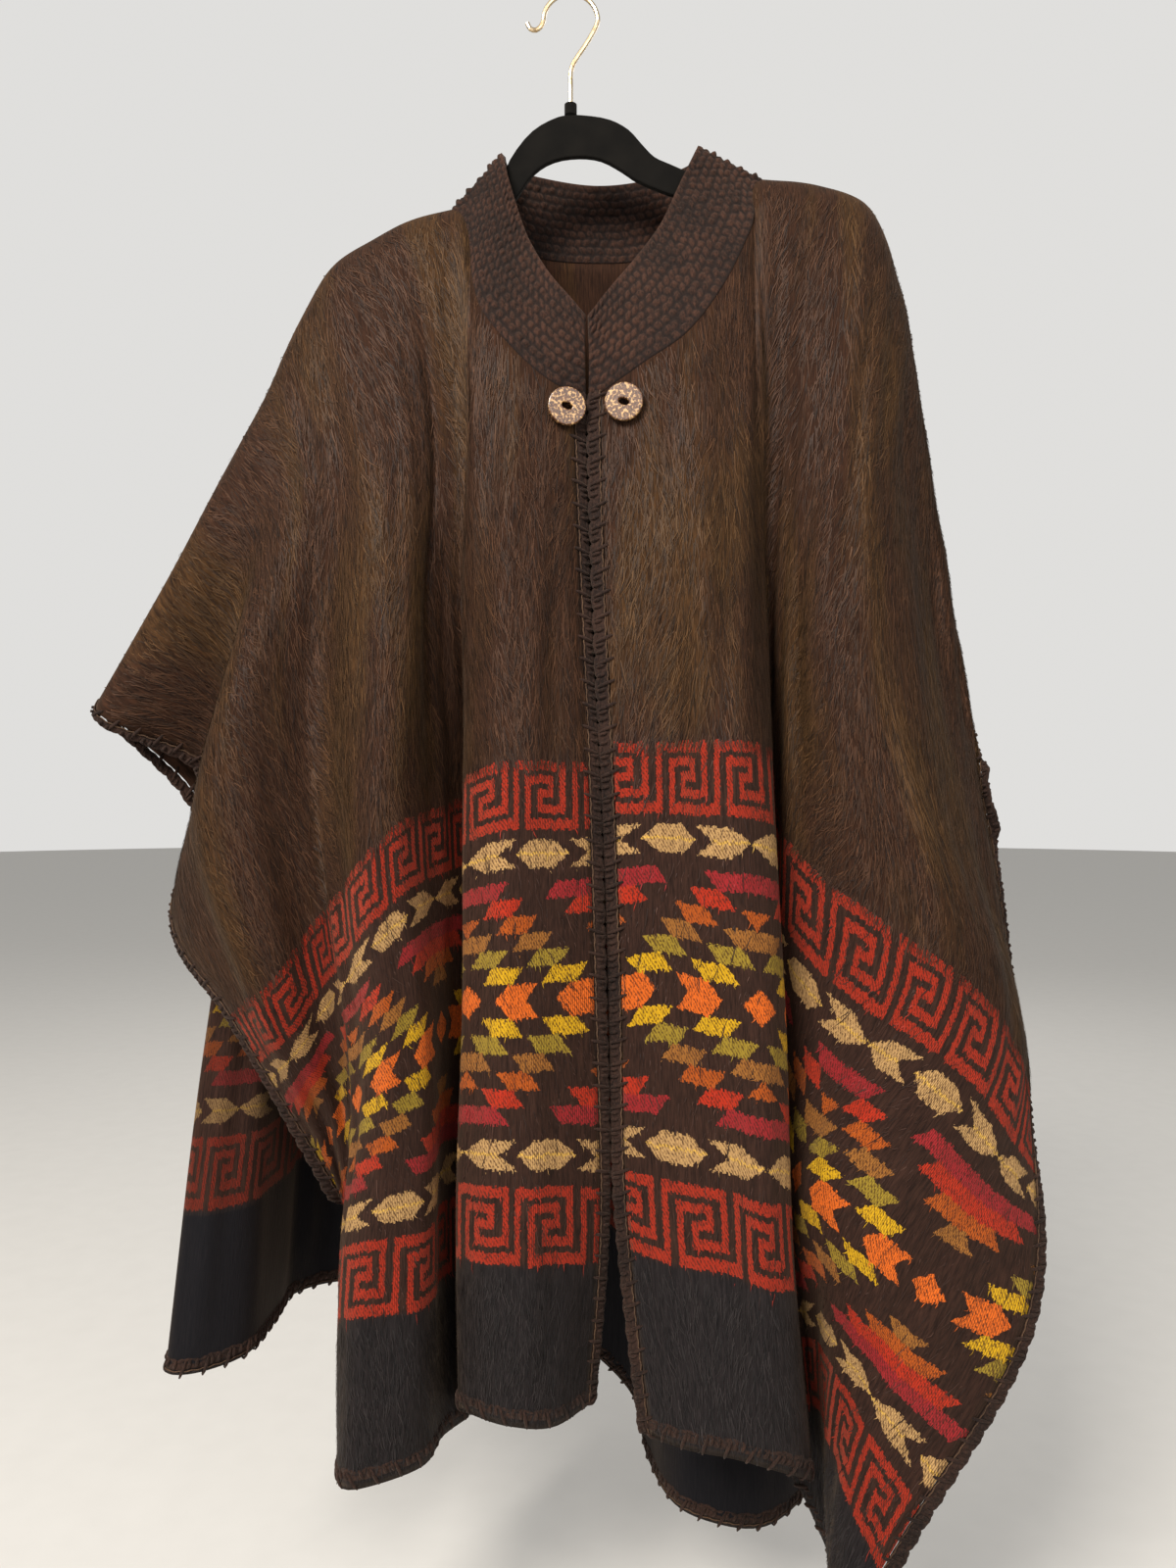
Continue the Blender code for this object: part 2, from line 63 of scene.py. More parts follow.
# The front's left half. One row for each warp line, along a fold's crest, side or valley, from
# the slit to the selvedge, which "across" counts in the woven pattern's own millimetres. The
# points run down the line: its top, chest and waist, then the pattern's top, middle and foot,
# and the hem with its edging.
FRONT_LEFT = (
    # across, top, chest, waist, pattern top, pattern middle, pattern foot, hem
    (-35, (2, -50, -335), (3, -54, -375), (7.5, -58, -495),
     (13, -66, -620), (18, -62, -795), (22, -45, -970), (12, -32, -1127)),
    (-65, (-12, -55, -330), (-11, -60, -375), (-10, -68, -495),
     (-8, -78, -620), (-8, -78, -795), (-3, -68, -960), (-10, -55, -1130)),
    (-120, (-37, -56, -310), (-40, -66, -380), (-45, -80, -500),
     (-45, -90, -620), (-45, -90, -795), (-45, -85, -955), (-45, -65, -1125)),
    (-165, (-65, -50, -275), (-65, -60, -370), (-70, -65, -495),
     (-75, -70, -630), (-75, -65, -800), (-80, -60, -960), (-80, -45, -1125)),
    (-240, (-95, -2, -175), (-85, -45, -355), (-90, -35, -490),
     (-82, -4, -645), (-84, 18, -830), (-88, 30, -1000), (-86, 30, -1170)),
    (-320, (-130, -3, -185), (-105, -45, -365), (-110, -50, -500),
     (-105, -40, -655), (-100, -22, -825), (-104, -8, -995), (-104, 2, -1170)),
    (-385, (-158, 0, -198), (-125, -60, -375), (-120, -80, -515),
     (-125, -85, -665), (-110, -75, -835), (-110, -65, -995), (-115, -50, -1165)),
    (-440, (-188, 0, -217), (-150, -65, -385), (-150, -80, -530),
     (-150, -90, -690), (-135, -85, -850), (-150, -80, -995), (-160, -70, -1170)),
    (-500, (-215, 0, -260), (-185, -50, -395), (-195, -40, -555),
     (-180, -45, -725), (-165, -40, -880), (-180, -30, -1020), (-182, -10, -1185)),
    (-577, (-245, 0, -325), (-215, -45, -410), (-225, -55, -575),
     (-200, -40, -745), (-176, -8, -892), (-176, 26, -1040), (-168, 48, -1180)),
    (-640, (-275, 0, -380), (-245, -30, -450), (-260, -75, -615),
     (-225, -65, -785), (-191, 2, -912), (-185, 54, -1044), (-172, 72, -1184)),
    (-690, (-320, 0, -465), (-275, 10, -550), (-290, -50, -670),
     (-245, -55, -800), (-199, 13, -936), (-187, 76, -1048), (-168, 92, -1188)),
    (-735, (-378, 0, -567), (-302, 22, -620), (-320, -2, -740),
     (-262, -36, -815), (-202, 25, -956), (-182, 98, -1052), (-156, 108, -1192)),
)

# The front's right half, from the slit to the selvedge.
FRONT_RIGHT = (
    # across, top, chest, waist, pattern top, pattern middle, pattern foot, hem
    (35, (25, -50, -335), (24.5, -55, -375), (28, -62, -495),
     (33, -62, -605), (40, -55, -795), (44, -46, -955), (63, -55, -1140)),
    (70, (55, -55, -315), (55, -60, -375), (60, -70, -490),
     (66, -68, -605), (68, -62, -790), (72, -58, -960), (88, -72, -1140)),
    (120, (90, -55, -290), (95, -65, -370), (100, -85, -485),
     (100, -85, -605), (105, -80, -795), (115, -80, -960), (125, -85, -1140)),
    (165, (120, -40, -245), (125, -60, -360), (130, -75, -485),
     (130, -90, -605), (140, -90, -800), (145, -95, -965), (160, -85, -1150)),
    (200, (140, -25, -200), (140, -50, -350), (145, -50, -480),
     (150, -60, -610), (160, -70, -810), (165, -75, -975), (183, -60, -1170)),
    (290, (155, 2, -149), (160, -35, -345), (158, -22, -480),
     (159, 2, -630), (154, 12, -850), (152, 22, -1045), (160, 25, -1200)),
    (395, (200, 0, -155), (182, -45, -350), (174, -45, -500),
     (177, -38, -690), (170, 2, -905), (174, 22, -1075), (184, 22, -1215)),
    (470, (235, 0, -168), (215, -60, -360), (200, -70, -535),
     (230, -65, -735), (172, -30, -935), (186, 2, -1100), (206, 6, -1255)),
    (540, (262, 5, -225), (245, -50, -380), (245, -75, -590),
     (280, -75, -770), (186, -60, -945), (194, -18, -1095), (212, -10, -1275)),
    (600, (280, 10, -315), (270, -30, -455), (285, -55, -650),
     (320, -60, -805), (222, -80, -975), (200, -46, -1100), (204, -35, -1295)),
    (670, (300, 12, -445), (310, -12, -575), (330, -25, -720),
     (355, -30, -860), (272, -80, -1015), (216, -72, -1135), (188, -60, -1308)),
    (735, (324, 18, -578), (342, 8, -690), (357, 4, -805),
     (366, -10, -900), (340, -62, -1050), (246, -82, -1188), (176, -78, -1312)),
)

# The back, from the left selvedge to the right one. Its tops are on the shoulder ridge, which
# it shares with the fronts, and on the neck's seam between them.
BACK = (
    # across, chest, pattern top, pattern foot, hem
    (-735, (-318, 42, -642), (-294, 100, -790), (-290, 126, -960), (-298, 132, -1105)),
    (-680, (-298, 50, -560), (-288, 66, -722), (-300, 78, -950), (-314, 80, -1108)),
    (-620, (-270, 52, -475), (-280, 45, -660), (-306, 30, -945), (-325, 25, -1110)),
    (-560, (-245, 52, -440), (-268, 22, -640), (-303, -6, -940), (-320, -16, -1112)),
    (-500, (-220, 50, -400), (-245, 30, -640), (-275, 0, -940), (-292, -12, -1112)),
    (-450, (-192, 52, -395), (-225, 50, -640), (-255, 25, -940), (-266, 12, -1110)),
    (-400, (-165, 55, -390), (-210, 85, -640), (-248, 80, -940), (-260, 75, -1112)),
    (-340, (-135, 58, -385), (-190, 115, -640), (-240, 130, -940), (-258, 138, -1115)),
    (-260, (-95, 65, -380), (-150, 125, -645), (-195, 165, -950), (-212, 178, -1120)),
    (-170, (-65, 78, -385), (-90, 115, -650), (-130, 150, -960), (-140, 158, -1140)),
    (-80, (-20, 85, -388), (-35, 125, -655), (-60, 175, -975), (-68, 190, -1160)),
    (10, (25, 88, -390), (15, 135, -670), (5, 190, -1000), (0, 205, -1190)),
    (80, (62, 86, -388), (55, 135, -690), (55, 185, -1040), (58, 195, -1240)),
    (140, (92, 80, -380), (75, 115, -700), (70, 125, -1070), (70, 125, -1262)),
    (200, (118, 72, -370), (95, 90, -700), (92, 78, -1080), (92, 68, -1270)),
    (260, (140, 62, -360), (130, 76, -700), (128, 62, -1085), (128, 52, -1276)),
    (320, (168, 56, -350), (170, 80, -700), (172, 68, -1090), (168, 58, -1280)),
    (390, (202, 56, -350), (210, 95, -705), (212, 98, -1095), (208, 98, -1276)),
    (460, (232, 58, -365), (242, 112, -715), (245, 140, -1095), (238, 148, -1270)),
    (540, (262, 60, -410), (280, 122, -740), (285, 165, -1090), (262, 178, -1268)),
    (610, (292, 60, -480), (312, 118, -770), (318, 168, -1090), (284, 178, -1268)),
    (670, (316, 58, -575), (331, 105, -830), (342, 150, -1095), (302, 160, -1270)),
    (735, (337, 45, -690), (352, 66, -870), (352, 112, -1100), (306, 124, -1272)),
)

# The seam round the back of the neck, left to right, between the fronts' neck corners.
BACK_NECK = (
    # across, seam
    (-150, (-62, 32, -182)),
    (-65, (-20, 50, -190)),
    (25, (28, 55, -190)),
    (115, (78, 50, -185)),
    (205, (120, 30, -163)),
)
NECK_CORNERS = (-240, 290)
# Places across that are this close are the same place.
NEAR = 1e-6

# The collar's upper edge: a point across from each top on the neck line, and one at each end
# of the collar, from the left end round the back of the neck to the right end.
COLLAR_EDGE = (
    (11.5, -45, -275), (7, -42, -268), (0, -38, -259), (-17, -28, -236), (-34, -18, -204),
    (-54, -3, -130), (-52, 30, -124), (-22, 52, -122), (24, 60, -124), (72, 50, -122),
    (100, 28, -121), (102, 0, -123), (86, -8, -160), (72, -15, -192), (52, -25, -223),
    (32, -35, -250), (19, -42, -268), (14.5, -45, -275),
)

# Columns and rows of faces between each two rows and points of the tables.
COLUMNS_LEFT = (6, 9, 9, 12, 10, 9, 9, 9, 10, 9, 8, 8)
COLUMNS_RIGHT = (6, 8, 8, 7, 12, 12, 10, 9, 9, 10, 9)
COLUMNS_BACK_NECK = 80
ROWS_FRONT = (4, 14, 18, 20, 26, 24, 24)
ROWS_BACK = (4, 31, 35, 37, 20)

# The knit of the collar: the size of one stitch, and how far it stands up.
STITCH_ALONG = 7.3
STITCH_WIDE = 6.8
STITCH_HIGH = 2.9
COLLAR_BODY = 2.6
COLLAR_BORDER = 3.2
COLLAR_STEP = 1.35
COLLAR_ROWS = 54

# The crocheted edging: one stitch for each pitch, and the radii of its yarns.
EDGE_PITCH = 17.0
EDGE_STEP = 1.7
CHAIN_RADIUS = 2.1
STITCH_RADIUS = 1.25
THREAD_RADIUS = 0.55
STITCH_DEPTH = 9.0

# The nap: the length of its hairs on the plain cloth and on the band, their width and lift, the
# share of the band that keeps them, and the share of them that stray over the band.
NAP_PLAIN = 24.0
NAP_BAND = 5.5
NAP_WIDE = 0.55
NAP_LIFT = 0.9
NAP_KEPT = 0.22
NAP_STRAY = 0.16
HAIRS = 42000

# The woven band's heights in the cloth: hairs are fewer between the first two, and shorter
# between the second two, over a fade.
NAP_SPARSE = (124, 512)
NAP_SHORT = (118, 520)
NAP_FADE = 12

# The small creases: how high they stand together, how many waves make them, each wave's shortest
# and longest length across and its shortest length down, and how near to a sheet's top, hem and
# sides they fade out.
CREASE_HIGH = 1.1
CREASE_WAVES = 14
CREASE_ACROSS = (38, 95)
CREASE_DOWN = 330
CALM_TOP = 110
CALM_HEM = 45
CALM_SIDE = 40

# The studio.
FLOOR_Z = -1400.0
CAMERA_PLACE = (14.0, -950.0, -636.0)
CAMERA_FOCAL = 1201.0
PICTURE_HIGH = 1600
SENSOR_WIDE = 36
WORLD_COLOUR = (0.93, 0.92, 0.90, 1.0)
WORLD_STRENGTH = 0.52
BACKDROP_STRENGTH = 0.8
LIGHTS = (
    # name, place, target, size, power, colour
    ("key", (-1.1, -2.2, 1.1), (0, 0, -0.6), (1.0, 1.0), 118, (1.0, 0.94, 0.86)),
    ("fill", (0.8, -2.3, 0.4), (0, 0, -0.6), (1.2, 1.0), 12, (1.0, 0.96, 0.92)),
    ("back", (0.4, 2.4, 1.2), (0, 0, -0.6), (1.8, 1.4), 26, (1.0, 0.98, 0.95)),
)


def operation(name):
    """A Term's method that becomes one Math node."""
    return lambda term, *others: term.maths(name, *others)


class Term:
    """A number in a material's node graph. Sums of terms become its Math nodes."""

    def __init__(self, tree, socket):
        self.tree = tree
        self.socket = socket

    def maths(self, name, *others):
        node = self.tree.nodes.new("ShaderNodeMath")
        node.operation = name
        for plug, value in zip(node.inputs, (self, *others)):
            join(self.tree, value, plug)
        return Term(self.tree, node.outputs[0])

    __add__ = operation("ADD")
    __sub__ = operation("SUBTRACT")
    __mul__ = __and__ = operation("MULTIPLY")
    __truediv__ = operation("DIVIDE")
    __mod__ = operation("FLOORED_MODULO")
    __lt__ = operation("LESS_THAN")
    __gt__ = operation("GREATER_THAN")
    __or__ = operation("MAXIMUM")
    __abs__ = operation("ABSOLUTE")

    def flipped(self):
        """One minus this term."""
        return (self * -1) + 1

    def between(self, furrow_shade, high):
        return (self > furrow_shade) & (self < high)

    def clamped(self, furrow_shade, high):
        """This term from 0 at low to 1 at high, and level beyond them."""
        node = self.tree.nodes.new("ShaderNodeMapRange")
        node.interpolation_type = "SMOOTHSTEP"
        join(self.tree, self, node.inputs["Value"])
        node.inputs["From Min"].default_value = furrow_shade
        node.inputs["From Max"].default_value = high
        return Term(self.tree, node.outputs["Result"])


def join(tree, value, plug):
    if isinstance(value, Term):
        tree.links.new(value.socket, plug)
    else:
        plug.default_value = value


def linear(red, green, blue):
    """A display colour, 0 to 255, as the linear colour that a shader takes."""
    shares = [v / 255 for v in (red, green, blue)]
    return tuple(v / 12.92 if v < 0.04045 else ((v + 0.055) / 1.055) ** 2.4 for v in shares) + (1,)


def new_material(name, roughness=0.9, **settings):
    """A material and its tree; the settings go on the shader's own sockets."""
    made = bpy.data.materials.new(name)
    made.use_nodes = True
    tree = made.node_tree
    shader = tree.nodes["Principled BSDF"]
    shader.inputs["Roughness"].default_value = roughness
    for socket, value in settings.items():
        shader.inputs[socket.replace("_", " ")].default_value = value
    return made, tree, shader


def attribute(tree, name):
    """The three numbers of a mesh attribute."""
    node = tree.nodes.new("ShaderNodeAttribute")
    node.attribute_name = name
    split = tree.nodes.new("ShaderNodeSeparateXYZ")
    tree.links.new(node.outputs["Vector"], split.inputs[0])
    return [Term(tree, output) for output in split.outputs]


def position(tree):
    """The point on the object itself, in millimetres."""
    node = tree.nodes.new("ShaderNodeTexCoord")
    split = tree.nodes.new("ShaderNodeSeparateXYZ")
    tree.links.new(node.outputs["Object"], split.inputs[0])
    return [Term(tree, output) * 1000 for output in split.outputs]


def noise(tree, x, y, z=0.0, detail=2.0, roughness=0.5):
    """Soft noise from 0 to 1, of one unit's grain in each of the three terms."""
    place = tree.nodes.new("ShaderNodeCombineXYZ")
    for plug, value in zip(place.inputs, (x, y, z)):
        join(tree, value, plug)
    node = tree.nodes.new("ShaderNodeTexNoise")
    node.inputs["Scale"].default_value = 1.0
    node.inputs["Detail"].default_value = detail
    node.inputs["Roughness"].default_value = roughness
    tree.links.new(place.outputs[0], node.inputs["Vector"])
    return Term(tree, node.outputs["Fac"])


def grains(tree, x, y):
    """One even random number from 0 to 1 for each whole step of the two terms."""
    place = tree.nodes.new("ShaderNodeCombineXYZ")
    join(tree, x.maths("FLOOR"), place.inputs[0])
    join(tree, y.maths("FLOOR") if isinstance(y, Term) else y, place.inputs[1])
    node = tree.nodes.new("ShaderNodeTexWhiteNoise")
    node.noise_dimensions = "2D"
    tree.links.new(place.outputs[0], node.inputs["Vector"])
    return Term(tree, node.outputs["Value"])


def blended(tree, share, first, second):
    """The first colour turned into the second one by the share."""
    node = tree.nodes.new("ShaderNodeMix")
    node.data_type = "RGBA"
    join(tree, share, node.inputs[0])
    join(tree, first, node.inputs[6])
    join(tree, second, node.inputs[7])
    return Term(tree, node.outputs[2])


def banded(tree, value, colours):
    """One flat colour for each equal step of the value from 0 to 1."""
    node = tree.nodes.new("ShaderNodeValToRGB")
    ramp = node.color_ramp
    ramp.interpolation = "CONSTANT"
    while len(ramp.elements) < len(colours):
        ramp.elements.new(0.5)
    for index, colour in enumerate(colours):
        ramp.elements[index].position = index / len(colours)
        ramp.elements[index].color = colour
    join(tree, value, node.inputs[0])
    return Term(tree, node.outputs["Color"])


def painted(tree, shader, colour, rough):
    """Links a colour and a roughness that vary over the surface."""
    join(tree, colour, shader.inputs["Base Color"])
    join(tree, rough, shader.inputs["Roughness"])


def bumped(tree, shader, height, distance, strength=1.0):
    """A relief as high as the distance, in millimetres, where the height is 1."""
    node = tree.nodes.new("ShaderNodeBump")
    node.inputs["Strength"].default_value = strength
    node.inputs["Distance"].default_value = distance * MM
    join(tree, height, node.inputs["Height"])
    tree.links.new(node.outputs["Normal"], shader.inputs["Normal"])


# The woven pattern. Its sizes are nominal millimetres of the cloth: "across" from the slit, and
# "up" from the hem's edge. Where a fold is shallow, the model squeezes them.
REPEAT = 165.0
KEY_PITCH = 60.4
KEY_START = 11.1
KEY_BANDS = (126.0, 452.5)
# The key's bars: from and to, in pitches across and in millimetres up.
KEY_BARS = (
    (-0.045, 0.045, 0.0, 57.0), (-0.045, 0.845, 49.0, 57.0), (0.155, 0.245, 0.0, 44.5),
    (0.155, 0.955, 0.0, 8.4), (0.155, 0.645, 37.5, 44.5), (0.555, 0.645, 26.0, 44.5),
    (0.355, 0.645, 26.0, 32.5), (0.355, 0.445, 13.0, 32.5), (0.355, 0.845, 13.0, 20.0),
    (0.755, 0.845, 13.0, 57.0),
)
LEAF_MIDDLES = (206.5, 433.5)
LEAF_HIGH = 11.0
FIELD = (229.0, 412.0)
FIELD_ROWS = 14
FIELD_COLOURS = (
    linear(148, 38, 42), linear(176, 48, 28), linear(172, 82, 28), linear(150, 98, 45),
    linear(150, 126, 44), linear(206, 160, 28), linear(216, 102, 34),
)
SMALL_HALVES = (5.0, 3.85, 2.6, 1.25)
KEY_COLOUR = linear(158, 45, 28)
LEAF_COLOUR = linear(184, 146, 96)
SPINE_COLOUR = linear(214, 170, 84)


def key_mask(across, up):
    """The squared spirals of both key rows."""
    turn = ((across - KEY_START) / KEY_PITCH + 0.045) % 1 - 0.045
    high = up - ((up > 300) * (KEY_BANDS[1] - KEY_BANDS[0]) + KEY_BANDS[0])
    mask = None
    for left, right, furrow_shade, top in KEY_BARS:
        bar = turn.between(left, right) & high.between(furrow_shade, top)
        mask = bar if mask is None else mask | bar
    return mask


def leaf_masks(across, up):
    """The row of fish and leaves, and the fine line along their middle."""
    far = abs((across / REPEAT + 0.5) % 1 - 0.5) * 2
    middle = (up > 300) * (LEAF_MIDDLES[1] - LEAF_MIDDLES[0]) + LEAF_MIDDLES[0]
    off = abs(up - middle) / LEAF_HIGH
    fish = (off < far / 0.27) & (far < 0.67) & ((off < (far - 0.45) / 0.22).flipped())
    leaf = (far > 0.67) & (off < (far - 0.67) / 0.18)
    return (fish | leaf) & (off < 1), off < 0.09


def field_mask(across, up):
    """The stepped diamonds, and the number of the row that each point is in, 0 to 1."""
    row = (up - FIELD[0]) / ((FIELD[1] - FIELD[0]) / FIELD_ROWS)
    deep = row.maths("MINIMUM", row.flipped() + (FIELD_ROWS - 1))
    index = deep.maths("FLOOR") + 1
    part = deep.maths("FRACT")
    step = REPEAT / 10.5
    out = abs(across % (2 * REPEAT) - REPEAT) / step
    slant = out + part * 0.78
    mask = slant.between(index, index + 2)
    mask = mask | ((index > 4.5) & slant.between(index - 4, index - 2))
    mask = mask | ((index < 1.5) & (slant < 3)) | (index.between(3.5, 4.5) & (slant < 2))
    mask = mask | (index.between(2.5, 3.5) & (out + part < 1))
    inner = out.flipped() + 9.5
    for number, half in enumerate(SMALL_HALVES, 1):
        here = index.between(number - 0.5, number + 0.5)
        mask = mask | (here & (inner < part * 0.75 + (half - 0.75)))
    height = deep * -1 + FIELD_ROWS / 2
    big = (out / 1.1 + height) < 1
    small = (inner + height) < 1
    return (mask | big | small) & (deep > 0), (index - 0.5) / len(FIELD_COLOURS)


def pattern(tree, across, up):
    """The colour of the woven pattern, and where it is. Its edges step with the yarns."""
    steps = grains(tree, across / 1.7, up / 90)
    up = up + (steps - 0.5) * 2.6
    across = across + (grains(tree, up / 1.5, across / 40 + 50) - 0.5) * 1.3
    key = key_mask(across, up) & (up.between(120, 190) | up.between(448, 515))
    leaf, spine = leaf_masks(across, up)
    leaf = leaf & (up.between(190, 222) | up.between(418, 448))
    field, index = field_mask(across, up)
    colour = banded(tree, index, FIELD_COLOURS)
    colour = blended(tree, key, colour, KEY_COLOUR)
    leaf_colour = blended(tree, spine, LEAF_COLOUR, SPINE_COLOUR)
    colour = blended(tree, leaf, colour, leaf_colour)
    return colour, key | leaf | field


def wool_colours(tree, across, up, outside):
    """The cloth's colour without the nap's own fine streaks, and where the pattern is."""
    broad = noise(tree, across / 70, up / 260, 3.0)
    streak = noise(tree, across / 2.2, up / 26, 11.0, detail=4.0, roughness=0.62)
    fine = noise(tree, across / 0.9, up / 9, 5.0, detail=2.0)
    shade = (streak * 0.62 + fine * 0.38).clamped(0.30, 0.72)
    brown = blended(tree, shade, linear(23, 14, 10), linear(64, 40, 27))
    olive = blended(tree, shade, linear(29, 18, 10), linear(84, 58, 31))
    ground = blended(tree, shade, linear(27, 17, 14), linear(60, 39, 31))
    charcoal = blended(tree, shade, linear(16, 15, 17), linear(40, 35, 36))
    colour = blended(tree, broad.clamped(0.45, 0.66) * 0.75, brown, olive)
    soft = (fine - 0.5) * 8
    colour = blended(tree, (up + soft).clamped(525, 500), colour, ground)
    colour = blended(tree, (up + soft * 0.5).clamped(130, 122), colour, charcoal)
    made, mask = pattern(tree, across, up)
    twill = ((across / 3.1 + up / 4.4) * (2 * math.pi)).maths("SINE") * 0.5 + 0.5
    dots = (twill * 0.45 + grains(tree, across / 1.4, up / 1.4) * 0.55).clamped(0.12, 0.62)
    made = blended(tree, dots.flipped() * 0.78, made, linear(58, 30, 24))
    veil = streak.clamped(0.50, 0.70) * 0.42
    made = blended(tree, veil, made, ground)
    inside = outside.flipped()
    dull = blended(tree, inside * 0.6, made, ground)
    colour = blended(tree, inside * 0.75 & (up < 122), colour, linear(16, 17, 22))
    return blended(tree, mask, colour, dull), mask, streak * 0.6 + fine * 0.4


def cloth_material():
    made, tree, shader = new_material(
        "brushed_wool", 0.85, Sheen_Weight=0.12, Sheen_Roughness=0.45,
        Sheen_Tint=(0.62, 0.44, 0.30, 1.0), Specular_IOR_Level=0.12)
    across, up, outside = attribute(tree, "weave")
    colour, mask, height = wool_colours(tree, across, up, outside)
    painted(tree, shader, colour, height * -0.25 + 0.98)
    yarn = (across / 1.7 * (2 * math.pi)).maths("SINE") * mask * 0.35
    bumped(tree, shader, height * 1.2 + yarn, 0.9, 0.8)
    return made


def hair_material():
    made, tree, shader = new_material(
        "nap", 0.6, Sheen_Weight=0.08, Sheen_Roughness=0.4,
        Sheen_Tint=(0.75, 0.55, 0.38, 1.0), Specular_IOR_Level=0.22)
    across, up = attribute(tree, "weave")[:2]
    chance, along, stray = attribute(tree, "hair")
    broad = noise(tree, across / 70, up / 260, 3.0)
    brown = blended(tree, chance, linear(24, 15, 11), linear(84, 55, 36))
    olive = blended(tree, chance, linear(31, 20, 11), linear(100, 72, 40))
    charcoal = blended(tree, chance, linear(16, 15, 17), linear(50, 44, 44))
    ground = blended(tree, chance, linear(28, 18, 15), linear(76, 52, 43))
    colour = blended(tree, broad.clamped(0.45, 0.66) * 0.75, brown, olive)
    colour = blended(tree, up.clamped(530, 500), colour, ground)
    colour = blended(tree, up.clamped(134, 122), colour, charcoal)
    woven, mask = pattern(tree, across, up)
    colour = blended(tree, mask * 0.85 & stray.flipped(), colour, woven)
    painted(tree, shader, colour, along * 0.2 + 0.55)
    return made


def yarn_material(name, dark, light, pitch=1.6, rough=0.88, painted_furrow_shade=False):
    """Spun woollen yarn: short fibres in two shades, with a fuzzy relief. Where asked, painted
    shade darkens the furrows between stitches, by the mesh's own "relief"."""
    made, tree, shader = new_material(
        name, rough, Sheen_Weight=0.12, Sheen_Roughness=0.5,
        Sheen_Tint=(0.6, 0.45, 0.36, 1.0), Specular_IOR_Level=0.25)
    x, y, z = position(tree)
    fibres = noise(tree, x / pitch, y / pitch, z / (pitch * 1.7), detail=4.0, roughness=0.65)
    broad = noise(tree, x / 34, y / 34, z / 34, detail=1.0)
    shade = (fibres * 0.7 + broad * 0.3).clamped(0.34, 0.66)
    colour = blended(tree, shade, linear(*dark), linear(*light))
    if painted_furrow_shade:
        # Painted shade: the low parts of the knit, between its stitches, are blended towards a
        # near-black brown.
        furrow_shade = attribute(tree, "relief")[0].clamped(0.12, 0.62).flipped()
        colour = blended(tree, furrow_shade * 0.8, colour, linear(16, 9, 8))
    painted(tree, shader, colour, fibres * -0.2 + (rough + 0.1))
    bumped(tree, shader, fibres, 0.7, 0.8)
    return made


def coconut_material():
    made, tree, shader = new_material(
        "coconut_shell", 0.35, Coat_Weight=0.5, Coat_Roughness=0.18, Specular_IOR_Level=0.5)
    x, y, z = position(tree)
    flecks = tree.nodes.new("ShaderNodeTexVoronoi")
    place = tree.nodes.new("ShaderNodeCombineXYZ")
    for plug, value in zip(place.inputs, (x / 2.1, y / 2.1, z / 2.1)):
        join(tree, value, plug)
    tree.links.new(place.outputs[0], flecks.inputs["Vector"])
    flecks.inputs["Scale"].default_value = 1.0
    spread = noise(tree, x / 1.3, y / 1.3, z / 1.3, detail=3.0, roughness=0.7)
    share = Term(tree, flecks.outputs["Distance"])
    pale = (share * 0.5 + spread * 0.6).clamped(0.56, 0.70)
    shell = blended(tree, spread.clamped(0.3, 0.7), linear(50, 27, 16), linear(112, 70, 40))
    colour = blended(tree, pale, shell, linear(196, 156, 104))
    painted(tree, shader, colour, spread * 0.3 + 0.22)
    bumped(tree, shader, spread, 0.3, 0.35)
    return made


def flock_material():
    made, tree, shader = new_material(
        "velvet_flock", 0.95, Sheen_Weight=0.16, Sheen_Roughness=0.35,
        Sheen_Tint=(0.75, 0.7, 0.65, 1.0), Specular_IOR_Level=0.15)
    x, y, z = position(tree)
    fuzz = noise(tree, x / 0.5, y / 0.5, z / 0.5, detail=3.0, roughness=0.7)
    worn = noise(tree, x / 18, y / 18, z / 18, detail=2.0)
    shade = (fuzz * 0.6 + worn * 0.4).clamped(0.35, 0.7)
    colour = blended(tree, shade, linear(8, 7, 6), linear(20, 18, 15))
    painted(tree, shader, colour, fuzz * -0.15 + 1.0)
    bumped(tree, shader, fuzz, 0.35, 0.7)
    return made


def wire_material():
    made, tree, shader = new_material("pale_gold_wire", 0.28, Metallic=1.0)
    x, y, z = position(tree)
    drawn = noise(tree, x / 0.6, y / 0.6, z / 9, detail=2.0)
    dulled = noise(tree, x / 8, y / 8, z / 8, detail=3.0)
    colour = blended(tree, dulled.clamped(0.4, 0.7), linear(226, 206, 172), linear(196, 168, 128))
    painted(tree, shader, colour, drawn * 0.14 + dulled * 0.16 + 0.12)
    bumped(tree, shader, drawn, 0.06, 0.4)
    return made


def floor_material():
    made, tree, shader = new_material("pale_floor", 0.8, Specular_IOR_Level=0.2)
    x, y, z = position(tree)
    grain = noise(tree, x / 40, y / 40, z / 40, detail=2.0)
    colour = blended(tree, grain, linear(214, 212, 208), linear(220, 218, 214))
    tree.links.new(colour.socket, shader.inputs["Base Color"])
    return made


